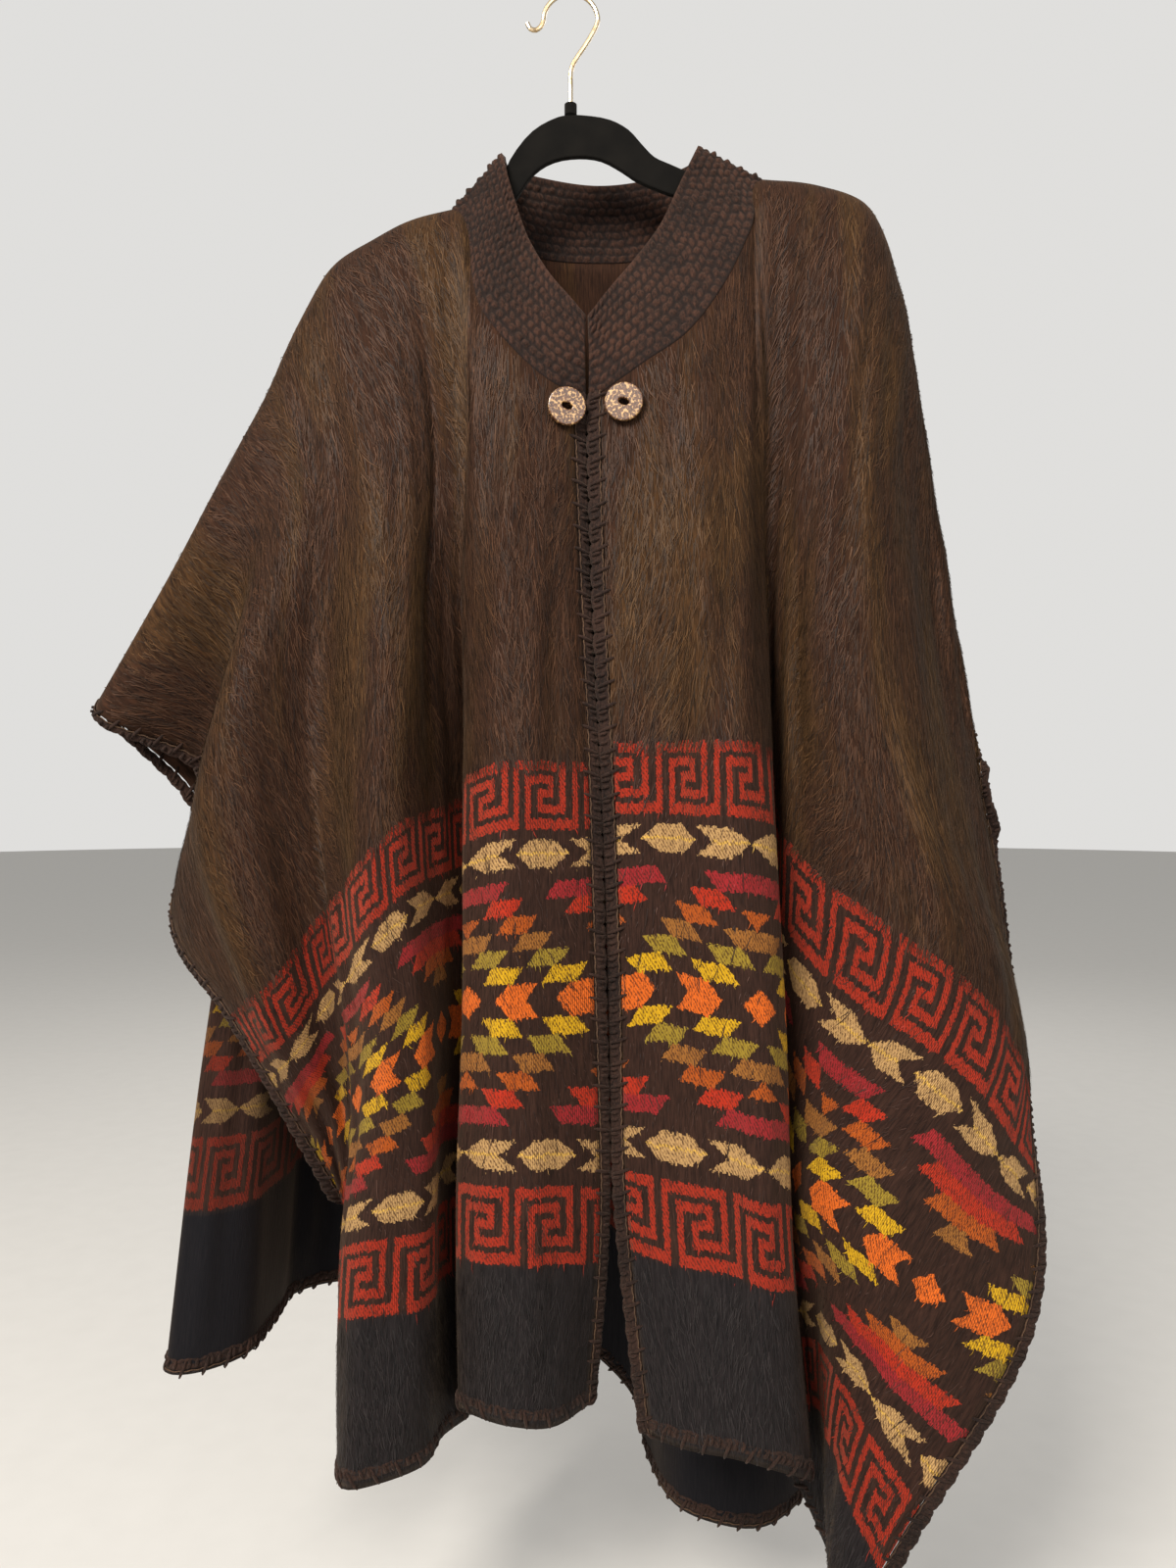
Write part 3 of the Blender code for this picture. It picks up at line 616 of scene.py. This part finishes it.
def spline_matrix(knots, places):
    """Rows that turn points at the knots into points of the smooth curve at the places."""
    count = len(knots)
    gaps = np.diff(knots)
    slopes = np.zeros((count, count))
    for i in range(1, count - 1):
        whole = gaps[i - 1] + gaps[i]
        slopes[i, i + 1] += gaps[i - 1] / gaps[i] / whole
        slopes[i, i] += (gaps[i] / gaps[i - 1] - gaps[i - 1] / gaps[i]) / whole
        slopes[i, i - 1] -= gaps[i] / gaps[i - 1] / whole
    slopes[0, 0:2] = (-1 / gaps[0], 1 / gaps[0])
    slopes[-1, -2:] = (-1 / gaps[-1], 1 / gaps[-1])
    rows = np.zeros((len(places), count))
    for row, place in zip(rows, places):
        i = min(max(int(np.searchsorted(knots, place, side="right")) - 1, 0), count - 2)
        f = (place - knots[i]) / gaps[i]
        row[i] += 2 * f**3 - 3 * f**2 + 1
        row[i + 1] += 3 * f**2 - 2 * f**3
        row += slopes[i] * gaps[i] * (f**3 - 2 * f**2 + f)
        row += slopes[i + 1] * gaps[i] * (f**3 - f**2)
    return rows


def added_up(steps):
    """The distance along a line at each of its points, from the steps between them."""
    return np.concatenate([[0.0], np.cumsum(steps)])


def along_line(spots, at, values):
    """The values, which are known at places along a line, at the spots between them."""
    return np.stack([np.interp(spots, at, column) for column in values.T], axis=1)


def mean_knots(cage, axis):
    """Knots along one axis of a cage of points: the mean distance between its lines, added up."""
    return added_up(np.linalg.norm(np.diff(cage, axis=axis), axis=2).mean(axis=1 - axis))


def stepped(knots, counts):
    """Places along the knots, with the number of steps that counts gives between each two."""
    places = [np.linspace(a, b, n + 1)[:-1] for a, b, n in zip(knots, knots[1:], counts)]
    return np.concatenate([*places, knots[-1:]])


def unit(vectors):
    return vectors / np.linalg.norm(vectors, axis=-1, keepdims=True)


def on_ridge(across):
    """Which places across are on a shoulder ridge, not on the neck's seam."""
    return (across <= NECK_CORNERS[0] + NEAR) | (across >= NECK_CORNERS[1] - NEAR)


def ridge(across):
    """The points of the shoulder ridges at the places across."""
    points = np.zeros((len(across), 3))
    for table, side in ((FRONT_LEFT, -1), (FRONT_RIGHT, 1)):
        rows = [row for row in table if on_ridge(np.array(row[0]))]
        places = np.array([row[0] for row in rows], float) * side
        tops = np.array([row[1] for row in rows], float)
        knots = mean_knots(tops[:, None], 0)
        here = np.interp(across * side, places, knots)
        mask = on_ridge(across) & (across * side > 0)
        points[mask] = spline_matrix(knots, here[mask]) @ tops
    return points


def woven_heights(grid, rows, levels, marks):
    """The height of each point above the hem, measured in the cloth: from the marks at the last
    levels, and by the cloth's own length above the highest of them."""
    first = int(np.searchsorted(rows, levels[-len(marks)] - NEAR))
    below = np.interp(rows, levels[-len(marks):], marks)
    steps = np.linalg.norm(np.diff(grid, axis=1), axis=2)
    above = np.cumsum(steps[:, :first][:, ::-1], axis=1)[:, ::-1] + marks[0]
    return np.concatenate([above, np.tile(below[first:], (len(grid), 1))], axis=1)


def creases(places, heights, side):
    """Small soft creases, mostly down the cloth: how far they lift each point, in millimetres."""
    random = np.random.default_rng(SEED + side)
    lift = np.zeros(heights.shape)
    for _ in range(CREASE_WAVES):
        across = random.uniform(1 / CREASE_ACROSS[1], 1 / CREASE_ACROSS[0]) * random.choice((-1, 1))
        down = random.uniform(-1 / CREASE_DOWN, 1 / CREASE_DOWN)
        wave = across * places[:, None] + down * heights + random.uniform()
        lift += CREASE_HIGH * np.sin(2 * np.pi * wave) / 3
    return lift


def sheet_of(across, tops, cage, side, places, counts, marks):
    """One panel's middle surface: points[column, row] at the places across, with unit normals
    out of the garment and its heights in the cloth. Over a ridge it starts level; side is -1 at
    the front, 1 at the back."""
    level = np.array([0.0, side * RIDGE_ROUND, -0.7 * RIDGE_ROUND])
    after = np.where(on_ridge(across)[:, None], tops + level, tops * 0.8 + cage[:, 0] * 0.2)
    before = np.where(on_ridge(across)[:, None], tops + level * (1, -1, 1), 2 * tops - after)
    cage = np.concatenate([np.stack([before, tops, after], axis=1), cage], axis=1)
    columns = mean_knots(cage, 0)
    levels = mean_knots(cage, 1)
    rows = stepped(levels[1:], counts)
    rows[-1] -= EDGING_WIDE + EDGING_GAP
    order = np.argsort(across)
    here = np.interp(places, across[order], columns[order])
    crosswise = spline_matrix(columns, here)
    grid = np.einsum("ai,bj,ijk->abk", crosswise, spline_matrix(levels, rows), cage)
    over = on_ridge(places)
    shift = np.where(over[:, None], ridge(places) - grid[:, 0], 0.0)
    fade = np.clip((levels[3] - rows) / (levels[3] - levels[2]), 0, 1)
    grid = grid + shift[:, None] * fade[None, :, None]
    down = np.gradient(grid, axis=1)
    down[over, 0] = (0.0, side, 0.0)
    grid[:, 0] += unit(down[:, 0]) * SEAM_GAP / 2
    outward = side if places[0] < places[-1] else -side
    normals = unit(np.cross(np.gradient(grid, axis=0), down)) * outward
    heights = woven_heights(grid, rows, levels, marks)
    inward = np.minimum(np.abs(places - places[0]), np.abs(places - places[-1]))
    calm = np.clip((rows - rows[0]) / CALM_TOP, 0, 1)[None]
    calm = calm * np.clip((rows[-1] - rows) / CALM_HEM, 0, 1)[None]
    calm = calm * np.clip(inward / CALM_SIDE, 0, 1)[:, None]
    grid = grid + normals * (creases(places, heights, side) * calm)[..., None]
    down = np.gradient(grid, axis=1)
    down[over, 0] = (0.0, side, 0.0)
    normals = unit(np.cross(np.gradient(grid, axis=0), down)) * outward
    return grid, normals, heights


def front_sheet(table, columns):
    across = np.array([row[0] for row in table], float)
    points = np.array([row[1:] for row in table], float)
    places = stepped(across, columns)
    return places, *sheet_of(across, points[:, 0], points[:, 1:], -1, places, ROWS_FRONT,
                             LEVELS_FRONT)


def back_sheet(left_places, right_places):
    across = np.array([row[0] for row in BACK], float)
    cage = np.array([row[1:] for row in BACK], float)
    neck = [(p, q) for p, q in zip(NECK_CORNERS, ridge(np.array(NECK_CORNERS, float)))]
    neck = sorted(neck + list(BACK_NECK), key=lambda row: row[0])
    seam_places = np.array([row[0] for row in neck], float)
    seam = np.array([row[1] for row in neck], float)
    tops = ridge(across)
    inside = ~on_ridge(across)
    knots = mean_knots(seam[:, None], 0)
    tops[inside] = spline_matrix(knots, np.interp(across[inside], seam_places, knots)) @ seam
    left = left_places[on_ridge(left_places)][::-1]
    right = right_places[on_ridge(right_places)]
    between = np.linspace(*NECK_CORNERS, COLUMNS_BACK_NECK + 1)[1:-1]
    places = np.concatenate([left, between, right])
    return places, *sheet_of(across, tops, cage, 1, places, ROWS_BACK, LEVELS_BACK)


def square_to(vectors, along):
    """The vectors' part square to the lines along, as unit vectors."""
    along = unit(along)
    return unit(vectors - np.sum(vectors * along, axis=-1, keepdims=True) * along)


def edging_strip(grid, normals, level):
    """The crocheted strip carried out past the panel: down its first side, along its hem and up
    its last side. Its middle surface and normals, points[place, 0 inside or 1 outside]. Level
    says of each side whether it starts level, over a ridge."""
    sides = []
    for index, beside in ((0, 1), (-1, -2)):
        along = np.gradient(grid[index], axis=0)
        if level[index]:
            along[0] = (0, 1, 0)
        sides.append(square_to(grid[index] - grid[beside], along))
    first, last = sides
    down = square_to(grid[:, -1] - grid[:, -2], np.gradient(grid[:, -1], axis=0))
    down[0] = down[0] + first[-1]
    down[-1] = down[-1] + last[-1]
    inner = np.concatenate([grid[0, :-1], grid[:, -1], grid[-1, -2::-1]])
    outward = np.concatenate([first[:-1], down, last[-2::-1]])
    facing = np.concatenate([normals[0, :-1], normals[:, -1], normals[-1, -2::-1]])
    strip = np.stack([inner + EDGING_GAP * outward,
                      inner + (EDGING_GAP + EDGING_WIDE) * outward], axis=1)
    return strip, np.stack([facing, facing], axis=1)


def placed(name, data):
    """A new object in the scene."""
    obj = bpy.data.objects.new(name, data)
    bpy.context.scene.collection.objects.link(obj)
    return obj


class Shape:
    """Points and faces gathered for one mesh, and the material's number for each face."""

    def __init__(self):
        self.points = []
        self.faces = []
        self.kinds = []
        self.count = 0

    def add(self, points, faces, kind=0):
        points = np.asarray(points, float)
        faces = np.asarray(faces, int) + self.count
        self.points.append(points)
        self.faces += faces.tolist()
        self.kinds += [kind] * len(faces)
        self.count += len(points)

    def mesh(self, name, materials):
        points = np.concatenate(self.points) * MM
        made = bpy.data.meshes.new(name)
        made.from_pydata(points.tolist(), [], self.faces)
        made.shade_smooth()
        made.polygons.foreach_set("material_index", self.kinds)
        for finish in materials:
            made.materials.append(finish)
        return placed(name, made)


def remember(obj, name, values):
    """Keeps three numbers at each point of the mesh, for its material."""
    kept = obj.data.attributes.new(name, "FLOAT_VECTOR", "POINT")
    kept.data.foreach_set("vector", np.asarray(values, np.float32).ravel())


def wall(grid, normals, half_out, half_in):
    """A closed wall about the grid, half_out and half_in thick: its points and faces."""
    columns, rows = grid.shape[:2]
    points = np.concatenate([(grid + normals * half_out).reshape(-1, 3),
                             (grid - normals * half_in).reshape(-1, 3)])
    index = np.arange(columns * rows).reshape(columns, rows)
    inner = index + columns * rows

    def quads(a, b, c, d):
        return np.stack([a, b, c, d], axis=-1).reshape(-1, 4)

    faces = np.concatenate([
        quads(index[:-1, :-1], index[:-1, 1:], index[1:, 1:], index[1:, :-1]),
        quads(inner[:-1, :-1], inner[1:, :-1], inner[1:, 1:], inner[:-1, 1:]),
        quads(index[:-1, 0], index[1:, 0], inner[1:, 0], inner[:-1, 0]),
        quads(index[:-1, -1], inner[:-1, -1], inner[1:, -1], index[1:, -1]),
        quads(index[0, :-1], inner[0, :-1], inner[0, 1:], index[0, 1:]),
        quads(index[-1, :-1], index[-1, 1:], inner[-1, 1:], inner[-1, :-1]),
    ])
    middle = (columns // 2, rows // 2)
    first = grid[middle[0] + 1, middle[1]] - grid[middle]
    second = grid[middle[0], middle[1] + 1] - grid[middle]
    if np.dot(np.cross(second, first), normals[middle]) < 0:
        faces = faces[:, ::-1]
    return points, faces


def cloth_piece(name, grid, normals, places, heights, finish):
    shape = Shape()
    half = CLOTH_THICK / 2
    shape.add(*wall(grid, normals, half, half))
    obj = shape.mesh(name, [finish])
    weave = np.stack([np.broadcast_to(places[:, None], heights.shape), heights,
                      np.ones(heights.shape)], axis=-1).reshape(-1, 3)
    inner = weave * (1, 1, 0)
    remember(obj, "weave", np.concatenate([weave, inner]))
    return obj


def looked_up(values, at_column, at_row):
    """The values at places between the grid's columns and rows."""
    columns, rows = values.shape[:2]
    at_column = np.clip(at_column, 0, columns - 1.001)
    at_row = np.clip(at_row, 0, rows - 1.001)
    a, b = at_column.astype(int), at_row.astype(int)
    f, g = at_column - a, at_row - b
    if values.ndim == 3:
        f, g = f[:, None], g[:, None]
    return ((values[a, b] * (1 - g) + values[a, b + 1] * g) * (1 - f)
            + (values[a + 1, b] * (1 - g) + values[a + 1, b + 1] * g) * f)


def nap_piece(name, grid, normals, places, heights, count, seed, finish):
    """Fine flat hairs brushed down over a sheet's outer face, shorter and fewer on the band."""
    random = np.random.default_rng(seed)
    columns, rows = grid.shape[:2]
    along = np.linalg.norm(np.gradient(grid, axis=0), axis=2)
    down = np.linalg.norm(np.gradient(grid, axis=1), axis=2)
    cells = (along[:-1, :-1] * down[:-1, :-1]).ravel()
    inside = ((heights > NAP_SPARSE[0]) & (heights < NAP_SPARSE[1]))[:-1, :-1].ravel()
    cells = cells * np.where(inside, NAP_KEPT, 1.0)
    chosen = random.choice(len(cells), count, p=cells / cells.sum())
    at_column = chosen // (rows - 1) + random.uniform(size=count)
    at_row = chosen % (rows - 1) + random.uniform(size=count)
    across = np.interp(at_column, np.arange(columns), places)
    up = looked_up(heights, at_column, at_row)
    banded = np.clip(np.minimum(up - NAP_SHORT[0], NAP_SHORT[1] - up) / NAP_FADE, 0, 1)
    stray = random.uniform(size=count) < NAP_STRAY
    banded = np.where(stray, banded * 0.25, banded)
    hem = np.clip((135 - up) / 20, 0, 1)
    length = NAP_PLAIN + (NAP_BAND - NAP_PLAIN) * banded - 8 * hem * (1 - banded)
    length = length * random.uniform(0.55, 1.35, count)
    swirl = (0.16 * np.sin(across / 61 + up / 140) + 0.13 * np.sin(across / 27 - up / 95 + 1.3)
             + 0.10 * np.sin(across / 14 + up / 51))
    lean = -np.clip(across / 420, -1, 1) * 0.24 + swirl + random.normal(0, 0.16, count)
    bend = random.normal(0, 0.22, count)
    turn = np.sign(places[-1] - places[0])
    track = [(at_column, at_row)]
    for part in (0.5, 0.5):
        heading = lean + bend * (len(track) - 1)
        a, b = track[-1]
        step_a = looked_up(along, a, b)
        step_b = looked_up(down, a, b)
        track.append((a + turn * np.sin(heading) * length * part / step_a,
                      b + np.cos(heading) * length * part / step_b))
    lifts = (CLOTH_THICK / 2 - 0.1, CLOTH_THICK / 2 + NAP_LIFT * 0.6, CLOTH_THICK / 2 + 0.35)
    points = []
    for (a, b), lift in zip(track, lifts):
        jitter = random.uniform(0.5, 1.4, count)[:, None] if lift > CLOTH_THICK / 2 else 1.0
        points.append(looked_up(grid, a, b) + looked_up(normals, a, b) * lift * jitter)
    run = unit(points[1] - points[0] + 1e-6)
    aside = unit(np.cross(run, looked_up(normals, at_column, at_row)))
    wide = (NAP_WIDE / 2 * random.uniform(0.6, 1.5, count))[:, None]
    mesh_points = np.stack([points[0] + aside * wide * 0.7, points[0] - aside * wide * 0.7,
                            points[1] + aside * wide, points[1] - aside * wide,
                            points[2]], axis=1).reshape(-1, 3)
    start = np.arange(count)[:, None] * 5
    quads = start + np.array([0, 2, 3, 1])
    tips = start + np.array([2, 4, 3])
    made = bpy.data.meshes.new(name)
    made.from_pydata((mesh_points * MM).tolist(), [], quads.tolist() + tips.tolist())
    made.shade_smooth()
    made.materials.append(finish)
    obj = placed(name, made)
    root = np.stack([across, up, np.ones(count)], axis=1)
    remember(obj, "weave", np.repeat(root, 5, axis=0))
    chance = np.repeat(np.clip(random.beta(1.6, 2.2, count), 0, 1), 5)
    tip = np.tile([0.0, 0.0, 0.5, 0.5, 1.0], count)
    remember(obj, "hair", np.stack([chance, tip, np.repeat(stray, 5)], axis=1))
    return obj


def tube(shape, path, normals, radii, sides=6, kind=0, flat=1.0):
    """A closed round yarn along the path; normals say which way its flatter side faces."""
    path = np.asarray(path, float)
    along = unit(np.gradient(path, axis=0))
    up = square_to(np.asarray(normals, float), along)
    aside = np.cross(along, up)
    radii = np.broadcast_to(radii, len(path))[:, None, None]
    turns = np.linspace(0, 2 * np.pi, sides, endpoint=False)
    ring = (np.cos(turns)[None, :, None] * aside[:, None]
            + np.sin(turns)[None, :, None] * up[:, None] * flat)
    points = path[:, None] + ring * radii
    count = len(path)
    ends = np.stack([path[0], path[-1]])
    index = np.arange(count * sides).reshape(count, sides)
    after = np.roll(index, -1, axis=1)
    faces = np.stack([index[:-1], after[:-1], after[1:], index[1:]], axis=-1).reshape(-1, 4)
    first, last = count * sides, count * sides + 1
    shape.add(np.concatenate([points.reshape(-1, 3), ends]), np.zeros((0, 4)), kind)
    base = shape.count - len(points.reshape(-1, 3)) - 2
    shape.faces += (faces + base).tolist()
    shape.faces += [[base + first, base + int(b), base + int(a)]
                    for a, b in zip(index[0], after[0])]
    shape.faces += [[base + last, base + int(a), base + int(b)]
                    for a, b in zip(index[-1], after[-1])]
    shape.kinds += [kind] * (len(faces) + 2 * sides)


def evenly(points, step, *others):
    """The polyline and whatever goes with it, at even steps of its length."""
    length = added_up(np.linalg.norm(np.diff(points, axis=0), axis=1))
    at = np.linspace(0, length[-1], max(4, int(round(length[-1] / step)) + 1))
    return at, [along_line(at, length, values) for values in (points, *others)]


def edging_piece(name, strip, strip_out, over, finishes):
    """The crocheted edging: a soft band, slanted stitches over it into the cloth, a plaited
    chain round its outer edge and a pale thread along its inner one."""
    at, (inner, outer, facing) = evenly(strip[:, 0], EDGE_STEP, strip[:, 1], strip_out[:, 0])
    facing = unit(facing)
    outward = unit(outer - inner)
    random = np.random.default_rng(SEED + len(at))
    scallop = np.abs(np.sin(np.pi * at / EDGE_PITCH))[:, None]
    ends = [at if over[0] else at * 0 + 1e3, at[-1] - at if over[1] else at * 0 + 1e3]
    near = np.clip(np.minimum(*ends) / 130, 0, 1)[:, None]
    size = 0.3 + 0.7 * near
    reach = (outer - inner) * (0.72 + 0.22 * scallop) * size
    levels = np.array([-0.22, 0.1, 0.4, 0.7, 1.0])
    grid = inner[:, None] + reach[:, None] * levels[None, :, None]
    thick = np.array([0.7, 1.5, 1.6, 1.4, 0.9])
    ribs = 0.22 * np.sin(2 * np.pi * at / 3.4)[:, None] * np.array([0, 1, 1, 1, 0.5])
    half = (thick + ribs)[..., None]
    normals = np.repeat(facing[:, None], 5, axis=1)
    shape = Shape()
    shape.add(*wall(grid[::2], normals[::2], half[::2], half[::2]))
    chain = inner + reach + outward * 0.2
    plait = CHAIN_RADIUS * (0.78 + 0.34 * np.abs(np.sin(2 * np.pi * at / EDGE_PITCH * 1.5)))
    plait = plait * (0.55 + 0.45 * near[:, 0])
    tube(shape, chain, facing, plait, 7, 0, 0.85)
    for number in range(int(at[-1] / EDGE_PITCH * 3)):
        place = (number + 0.5 + random.uniform(-0.12, 0.12)) * EDGE_PITCH / 3
        long = number % 3 == 0
        into = -STITCH_DEPTH * 0.75 if long else random.uniform(0.2, 1.4)
        shift = 5.2 if long else 1.6
        steps = np.linspace(0, 1, 6)
        spots = place + shift * (steps - 0.2)
        if spots[-1] > at[-1] or spots[0] < 0:
            continue
        point = along_line(spots, at, inner)
        side, face = [unit(along_line(spots, at, values)) for values in (outward, facing)]
        reached = EDGING_WIDE * 0.92 * float(np.interp(place, at, size[:, 0]))
        out = (into + (reached - into) * steps)[:, None]
        rise = np.sin(np.pi * np.clip(steps * 1.05, 0, 1)) * 0.9 + CLOTH_THICK / 2 + 0.15
        rise[0] -= 1.0
        radii = STITCH_RADIUS * np.array([0.6, 0.95, 1.1, 1.1, 1.0, 0.7])
        for way in (1, -1):
            tube(shape, point + side * out + face * (rise * way)[:, None], face, radii, 5)
    pale = inner - outward * 1.0 + facing * (CLOTH_THICK / 2 + 0.5)
    wander = 0.35 * np.sin(2 * np.pi * at / 8.5)[:, None]
    tube(shape, pale + outward * wander, facing, THREAD_RADIUS, 4, 1)
    return shape.mesh(name, finishes)


def collar_piece(seam, shares, finish):
    """The knitted collar band: even stitches in rows that follow its length, on both faces."""
    points = np.array(COLLAR_EDGE, float)
    knots = mean_knots(points[:, None], 0)
    _, (seam, shares) = evenly(seam, COLLAR_STEP, shares[:, None])
    shares = shares[:, 0]
    edge = spline_matrix(knots, np.interp(shares, np.arange(len(points)), knots)) @ points
    wide = np.linalg.norm(edge - seam, axis=1)
    start = (-COLLAR_OVERLAP / wide)[:, None]
    rises = np.linspace(0, 1, COLLAR_ROWS)
    grid = np.stack([seam + (edge - seam) * (start + (1 - start) * f) for f in rises], axis=1)
    normals = unit(np.cross(np.gradient(grid, axis=0), np.gradient(grid, axis=1)))
    middle = grid[:, len(rises) // 2]
    run = added_up(np.linalg.norm(np.diff(middle, axis=0), axis=1))
    high = rises[None] * np.median(wide)
    row = np.floor(high / STITCH_WIDE)
    place = run[:, None] / STITCH_ALONG + 0.5 * (row % 2)
    part = high / STITCH_WIDE - row - 0.5
    place = place + part * np.where(row % 2 > 0.5, 0.34, -0.34)
    number = np.floor(place)
    chance, second = [np.sin(number * 12.9898 + row * turn) * 43758.5453 for turn in (78.2, 37.7)]
    chance, second = chance - np.floor(chance), second - np.floor(second)
    spot = np.clip(place - number - 0.5 + 0.26 * (chance - 0.5), -0.5, 0.5)
    part = np.clip(part + 0.24 * (second - 0.5), -0.5, 0.5)
    stitch = np.cos(np.pi * spot) ** 0.85 * np.cos(np.pi * part) ** 0.75
    stitch = stitch * (0.9 + 0.16 * np.sin(5.1 * spot * np.pi + 9 * second))
    height = STITCH_HIGH * (0.72 + 0.5 * chance) * stitch
    plain = np.clip((high[0, -1] - high) / COLLAR_BORDER, 0, 1)
    height = height * plain + 1.1 * (1 - plain)
    ends = np.minimum(run, run[-1] - run)[:, None]
    height = height * np.clip(high / 4, 0.2, 1) * np.clip(ends / 2, 0.3, 1)
    half = (COLLAR_BODY / 2 + height * 0.85)[..., None]
    shape = Shape()
    shape.add(*wall(grid, normals, half, half))
    obj = shape.mesh("collar_knit", [finish])
    # The stitches' height share. Where it is low, the knitted yarn's material paints shade into the
    # furrows.
    relief = np.maximum(stitch * (0.8 + 0.3 * chance), 1 - plain).ravel()
    relief = np.tile(relief, 2)
    remember(obj, "relief", np.stack([relief, relief, relief], axis=1))
    return obj


def add_floor():
    bpy.ops.mesh.primitive_circle_add(
        vertices=96, radius=14, fill_type="NGON", location=(0, 0, FLOOR_Z * MM))
    floor = bpy.context.object
    floor.name = "floor"
    floor.data.materials.append(floor_material())


def add_light(name, place, target, size, power, colour):
    light = bpy.data.lights.new(name, "AREA")
    light.shape = "RECTANGLE"
    light.size, light.size_y = size
    light.energy = power
    light.color = colour
    obj = placed(name, light)
    obj.location = place
    away = obj.location - mathutils.Vector(target)
    obj.rotation_euler = away.to_track_quat("Z", "Y").to_euler()


def add_lights():
    for light in LIGHTS:
        add_light(*light)
    world = bpy.data.worlds.new("studio")
    world.use_nodes = True
    background = world.node_tree.nodes["Background"]
    background.inputs["Color"].default_value = WORLD_COLOUR
    ray = world.node_tree.nodes.new("ShaderNodeLightPath")
    seen = Term(world.node_tree, ray.outputs["Is Camera Ray"])
    strength = seen * (BACKDROP_STRENGTH - WORLD_STRENGTH) + WORLD_STRENGTH
    join(world.node_tree, strength, background.inputs["Strength"])
    bpy.context.scene.world = world


def add_camera():
    camera = bpy.data.cameras.new("camera")
    camera.sensor_width = SENSOR_WIDE
    camera.lens = SENSOR_WIDE * CAMERA_FOCAL / PICTURE_HIGH
    obj = placed("camera", camera)
    obj.location = [v * MM for v in CAMERA_PLACE]
    obj.rotation_euler = (math.radians(90), 0, 0)
    bpy.context.scene.camera = obj


def own(piece, slot, *nodes):
    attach(piece, "root")
    if nodes:
        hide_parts(*nodes)


def restore(node, finish):
    """Gives a carried-over part of the model its detailed material."""
    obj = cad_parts[node]
    for slot in obj.material_slots:
        slot.material = finish
    if not obj.material_slots:
        obj.data.materials.append(finish)


def neck_line(sheets, strips):
    """The seam that the collar is sewn to, from the left end round the back of the neck to the
    right end, and each point's place along COLLAR_EDGE."""
    in_neck = {"front_left": lambda across: across >= NECK_CORNERS[0] - NEAR,
               "front_right": lambda across: across <= NECK_CORNERS[1] + NEAR,
               "back": lambda across: ~on_ridge(across)}
    places, tops = {}, {}
    for name, (across, grid, _, _) in sheets.items():
        neck = in_neck[name](across)
        places[name], tops[name] = across[neck], grid[neck, 0]
    rows_left = [-row[0] for row in FRONT_LEFT if row[0] >= NECK_CORNERS[0]]
    rows_right = [row[0] for row in FRONT_RIGHT if row[0] <= NECK_CORNERS[1]]
    rows_back = [NECK_CORNERS[0], *[row[0] for row in BACK_NECK], NECK_CORNERS[1]]
    at_back = len(rows_left)
    at_right = at_back + len(rows_back) - 1
    right = places["front_right"][::-1]
    shares = [
        [0.0],
        np.interp(-places["front_left"], rows_left, np.arange(len(rows_left)) + 1),
        np.interp(places["back"], rows_back, np.arange(len(rows_back)) + at_back),
        at_right + len(rows_right) - 1 - np.interp(right, rows_right, np.arange(len(rows_right))),
        [at_right + len(rows_right)],
    ]
    seam = [strips["front_left"][:1, 1], tops["front_left"], tops["back"],
            tops["front_right"][::-1], strips["front_right"][:1, 1]]
    return np.concatenate(seam), np.concatenate(shares)


def main():
    sheets = {"front_left": front_sheet(FRONT_LEFT, COLUMNS_LEFT),
              "front_right": front_sheet(FRONT_RIGHT, COLUMNS_RIGHT)}
    sheets["back"] = back_sheet(sheets["front_left"][0], sheets["front_right"][0])
    wool = cloth_material()
    hair = hair_material()
    crochet = yarn_material("crochet_yarn", (20, 12, 10), (54, 35, 27))
    thread = yarn_material("edging_thread", (52, 37, 28), (100, 76, 57), 0.8)
    knit = yarn_material("knitted_yarn", (24, 14, 10), (66, 41, 30), 1.5, painted_furrow_shade=True)

    strips = {}
    for number, (name, (places, grid, facing, up)) in enumerate(sheets.items()):
        cloth = cloth_piece("cloth_" + name, grid, facing, places, up, wool)
        own(cloth, "cloth", name)
        nap = nap_piece("nap_" + name, grid, facing, places, up, HAIRS, SEED + number, hair)
        own(nap, "cloth")
        over = (name == "back", True)
        strip, strip_out = edging_strip(grid, facing, over)
        strips[name] = strip
        edging = edging_piece("edging_" + name, strip, strip_out, over, [crochet, thread])
        own(edging, "crochet", name + "_edging")

    collar = collar_piece(*neck_line(sheets, strips), knit)
    own(collar, "knit", "collar")

    coconut, flock = coconut_material(), flock_material()
    for node, finish in (("button_left", coconut), ("button_right", coconut),
                         ("hanger_body", flock), ("hanger_ferrule", flock),
                         ("hanger_hook", wire_material())):
        restore(node, finish)

    add_floor()
    add_lights()
    add_camera()
    bpy.context.scene.view_settings.view_transform = "Standard"


main()
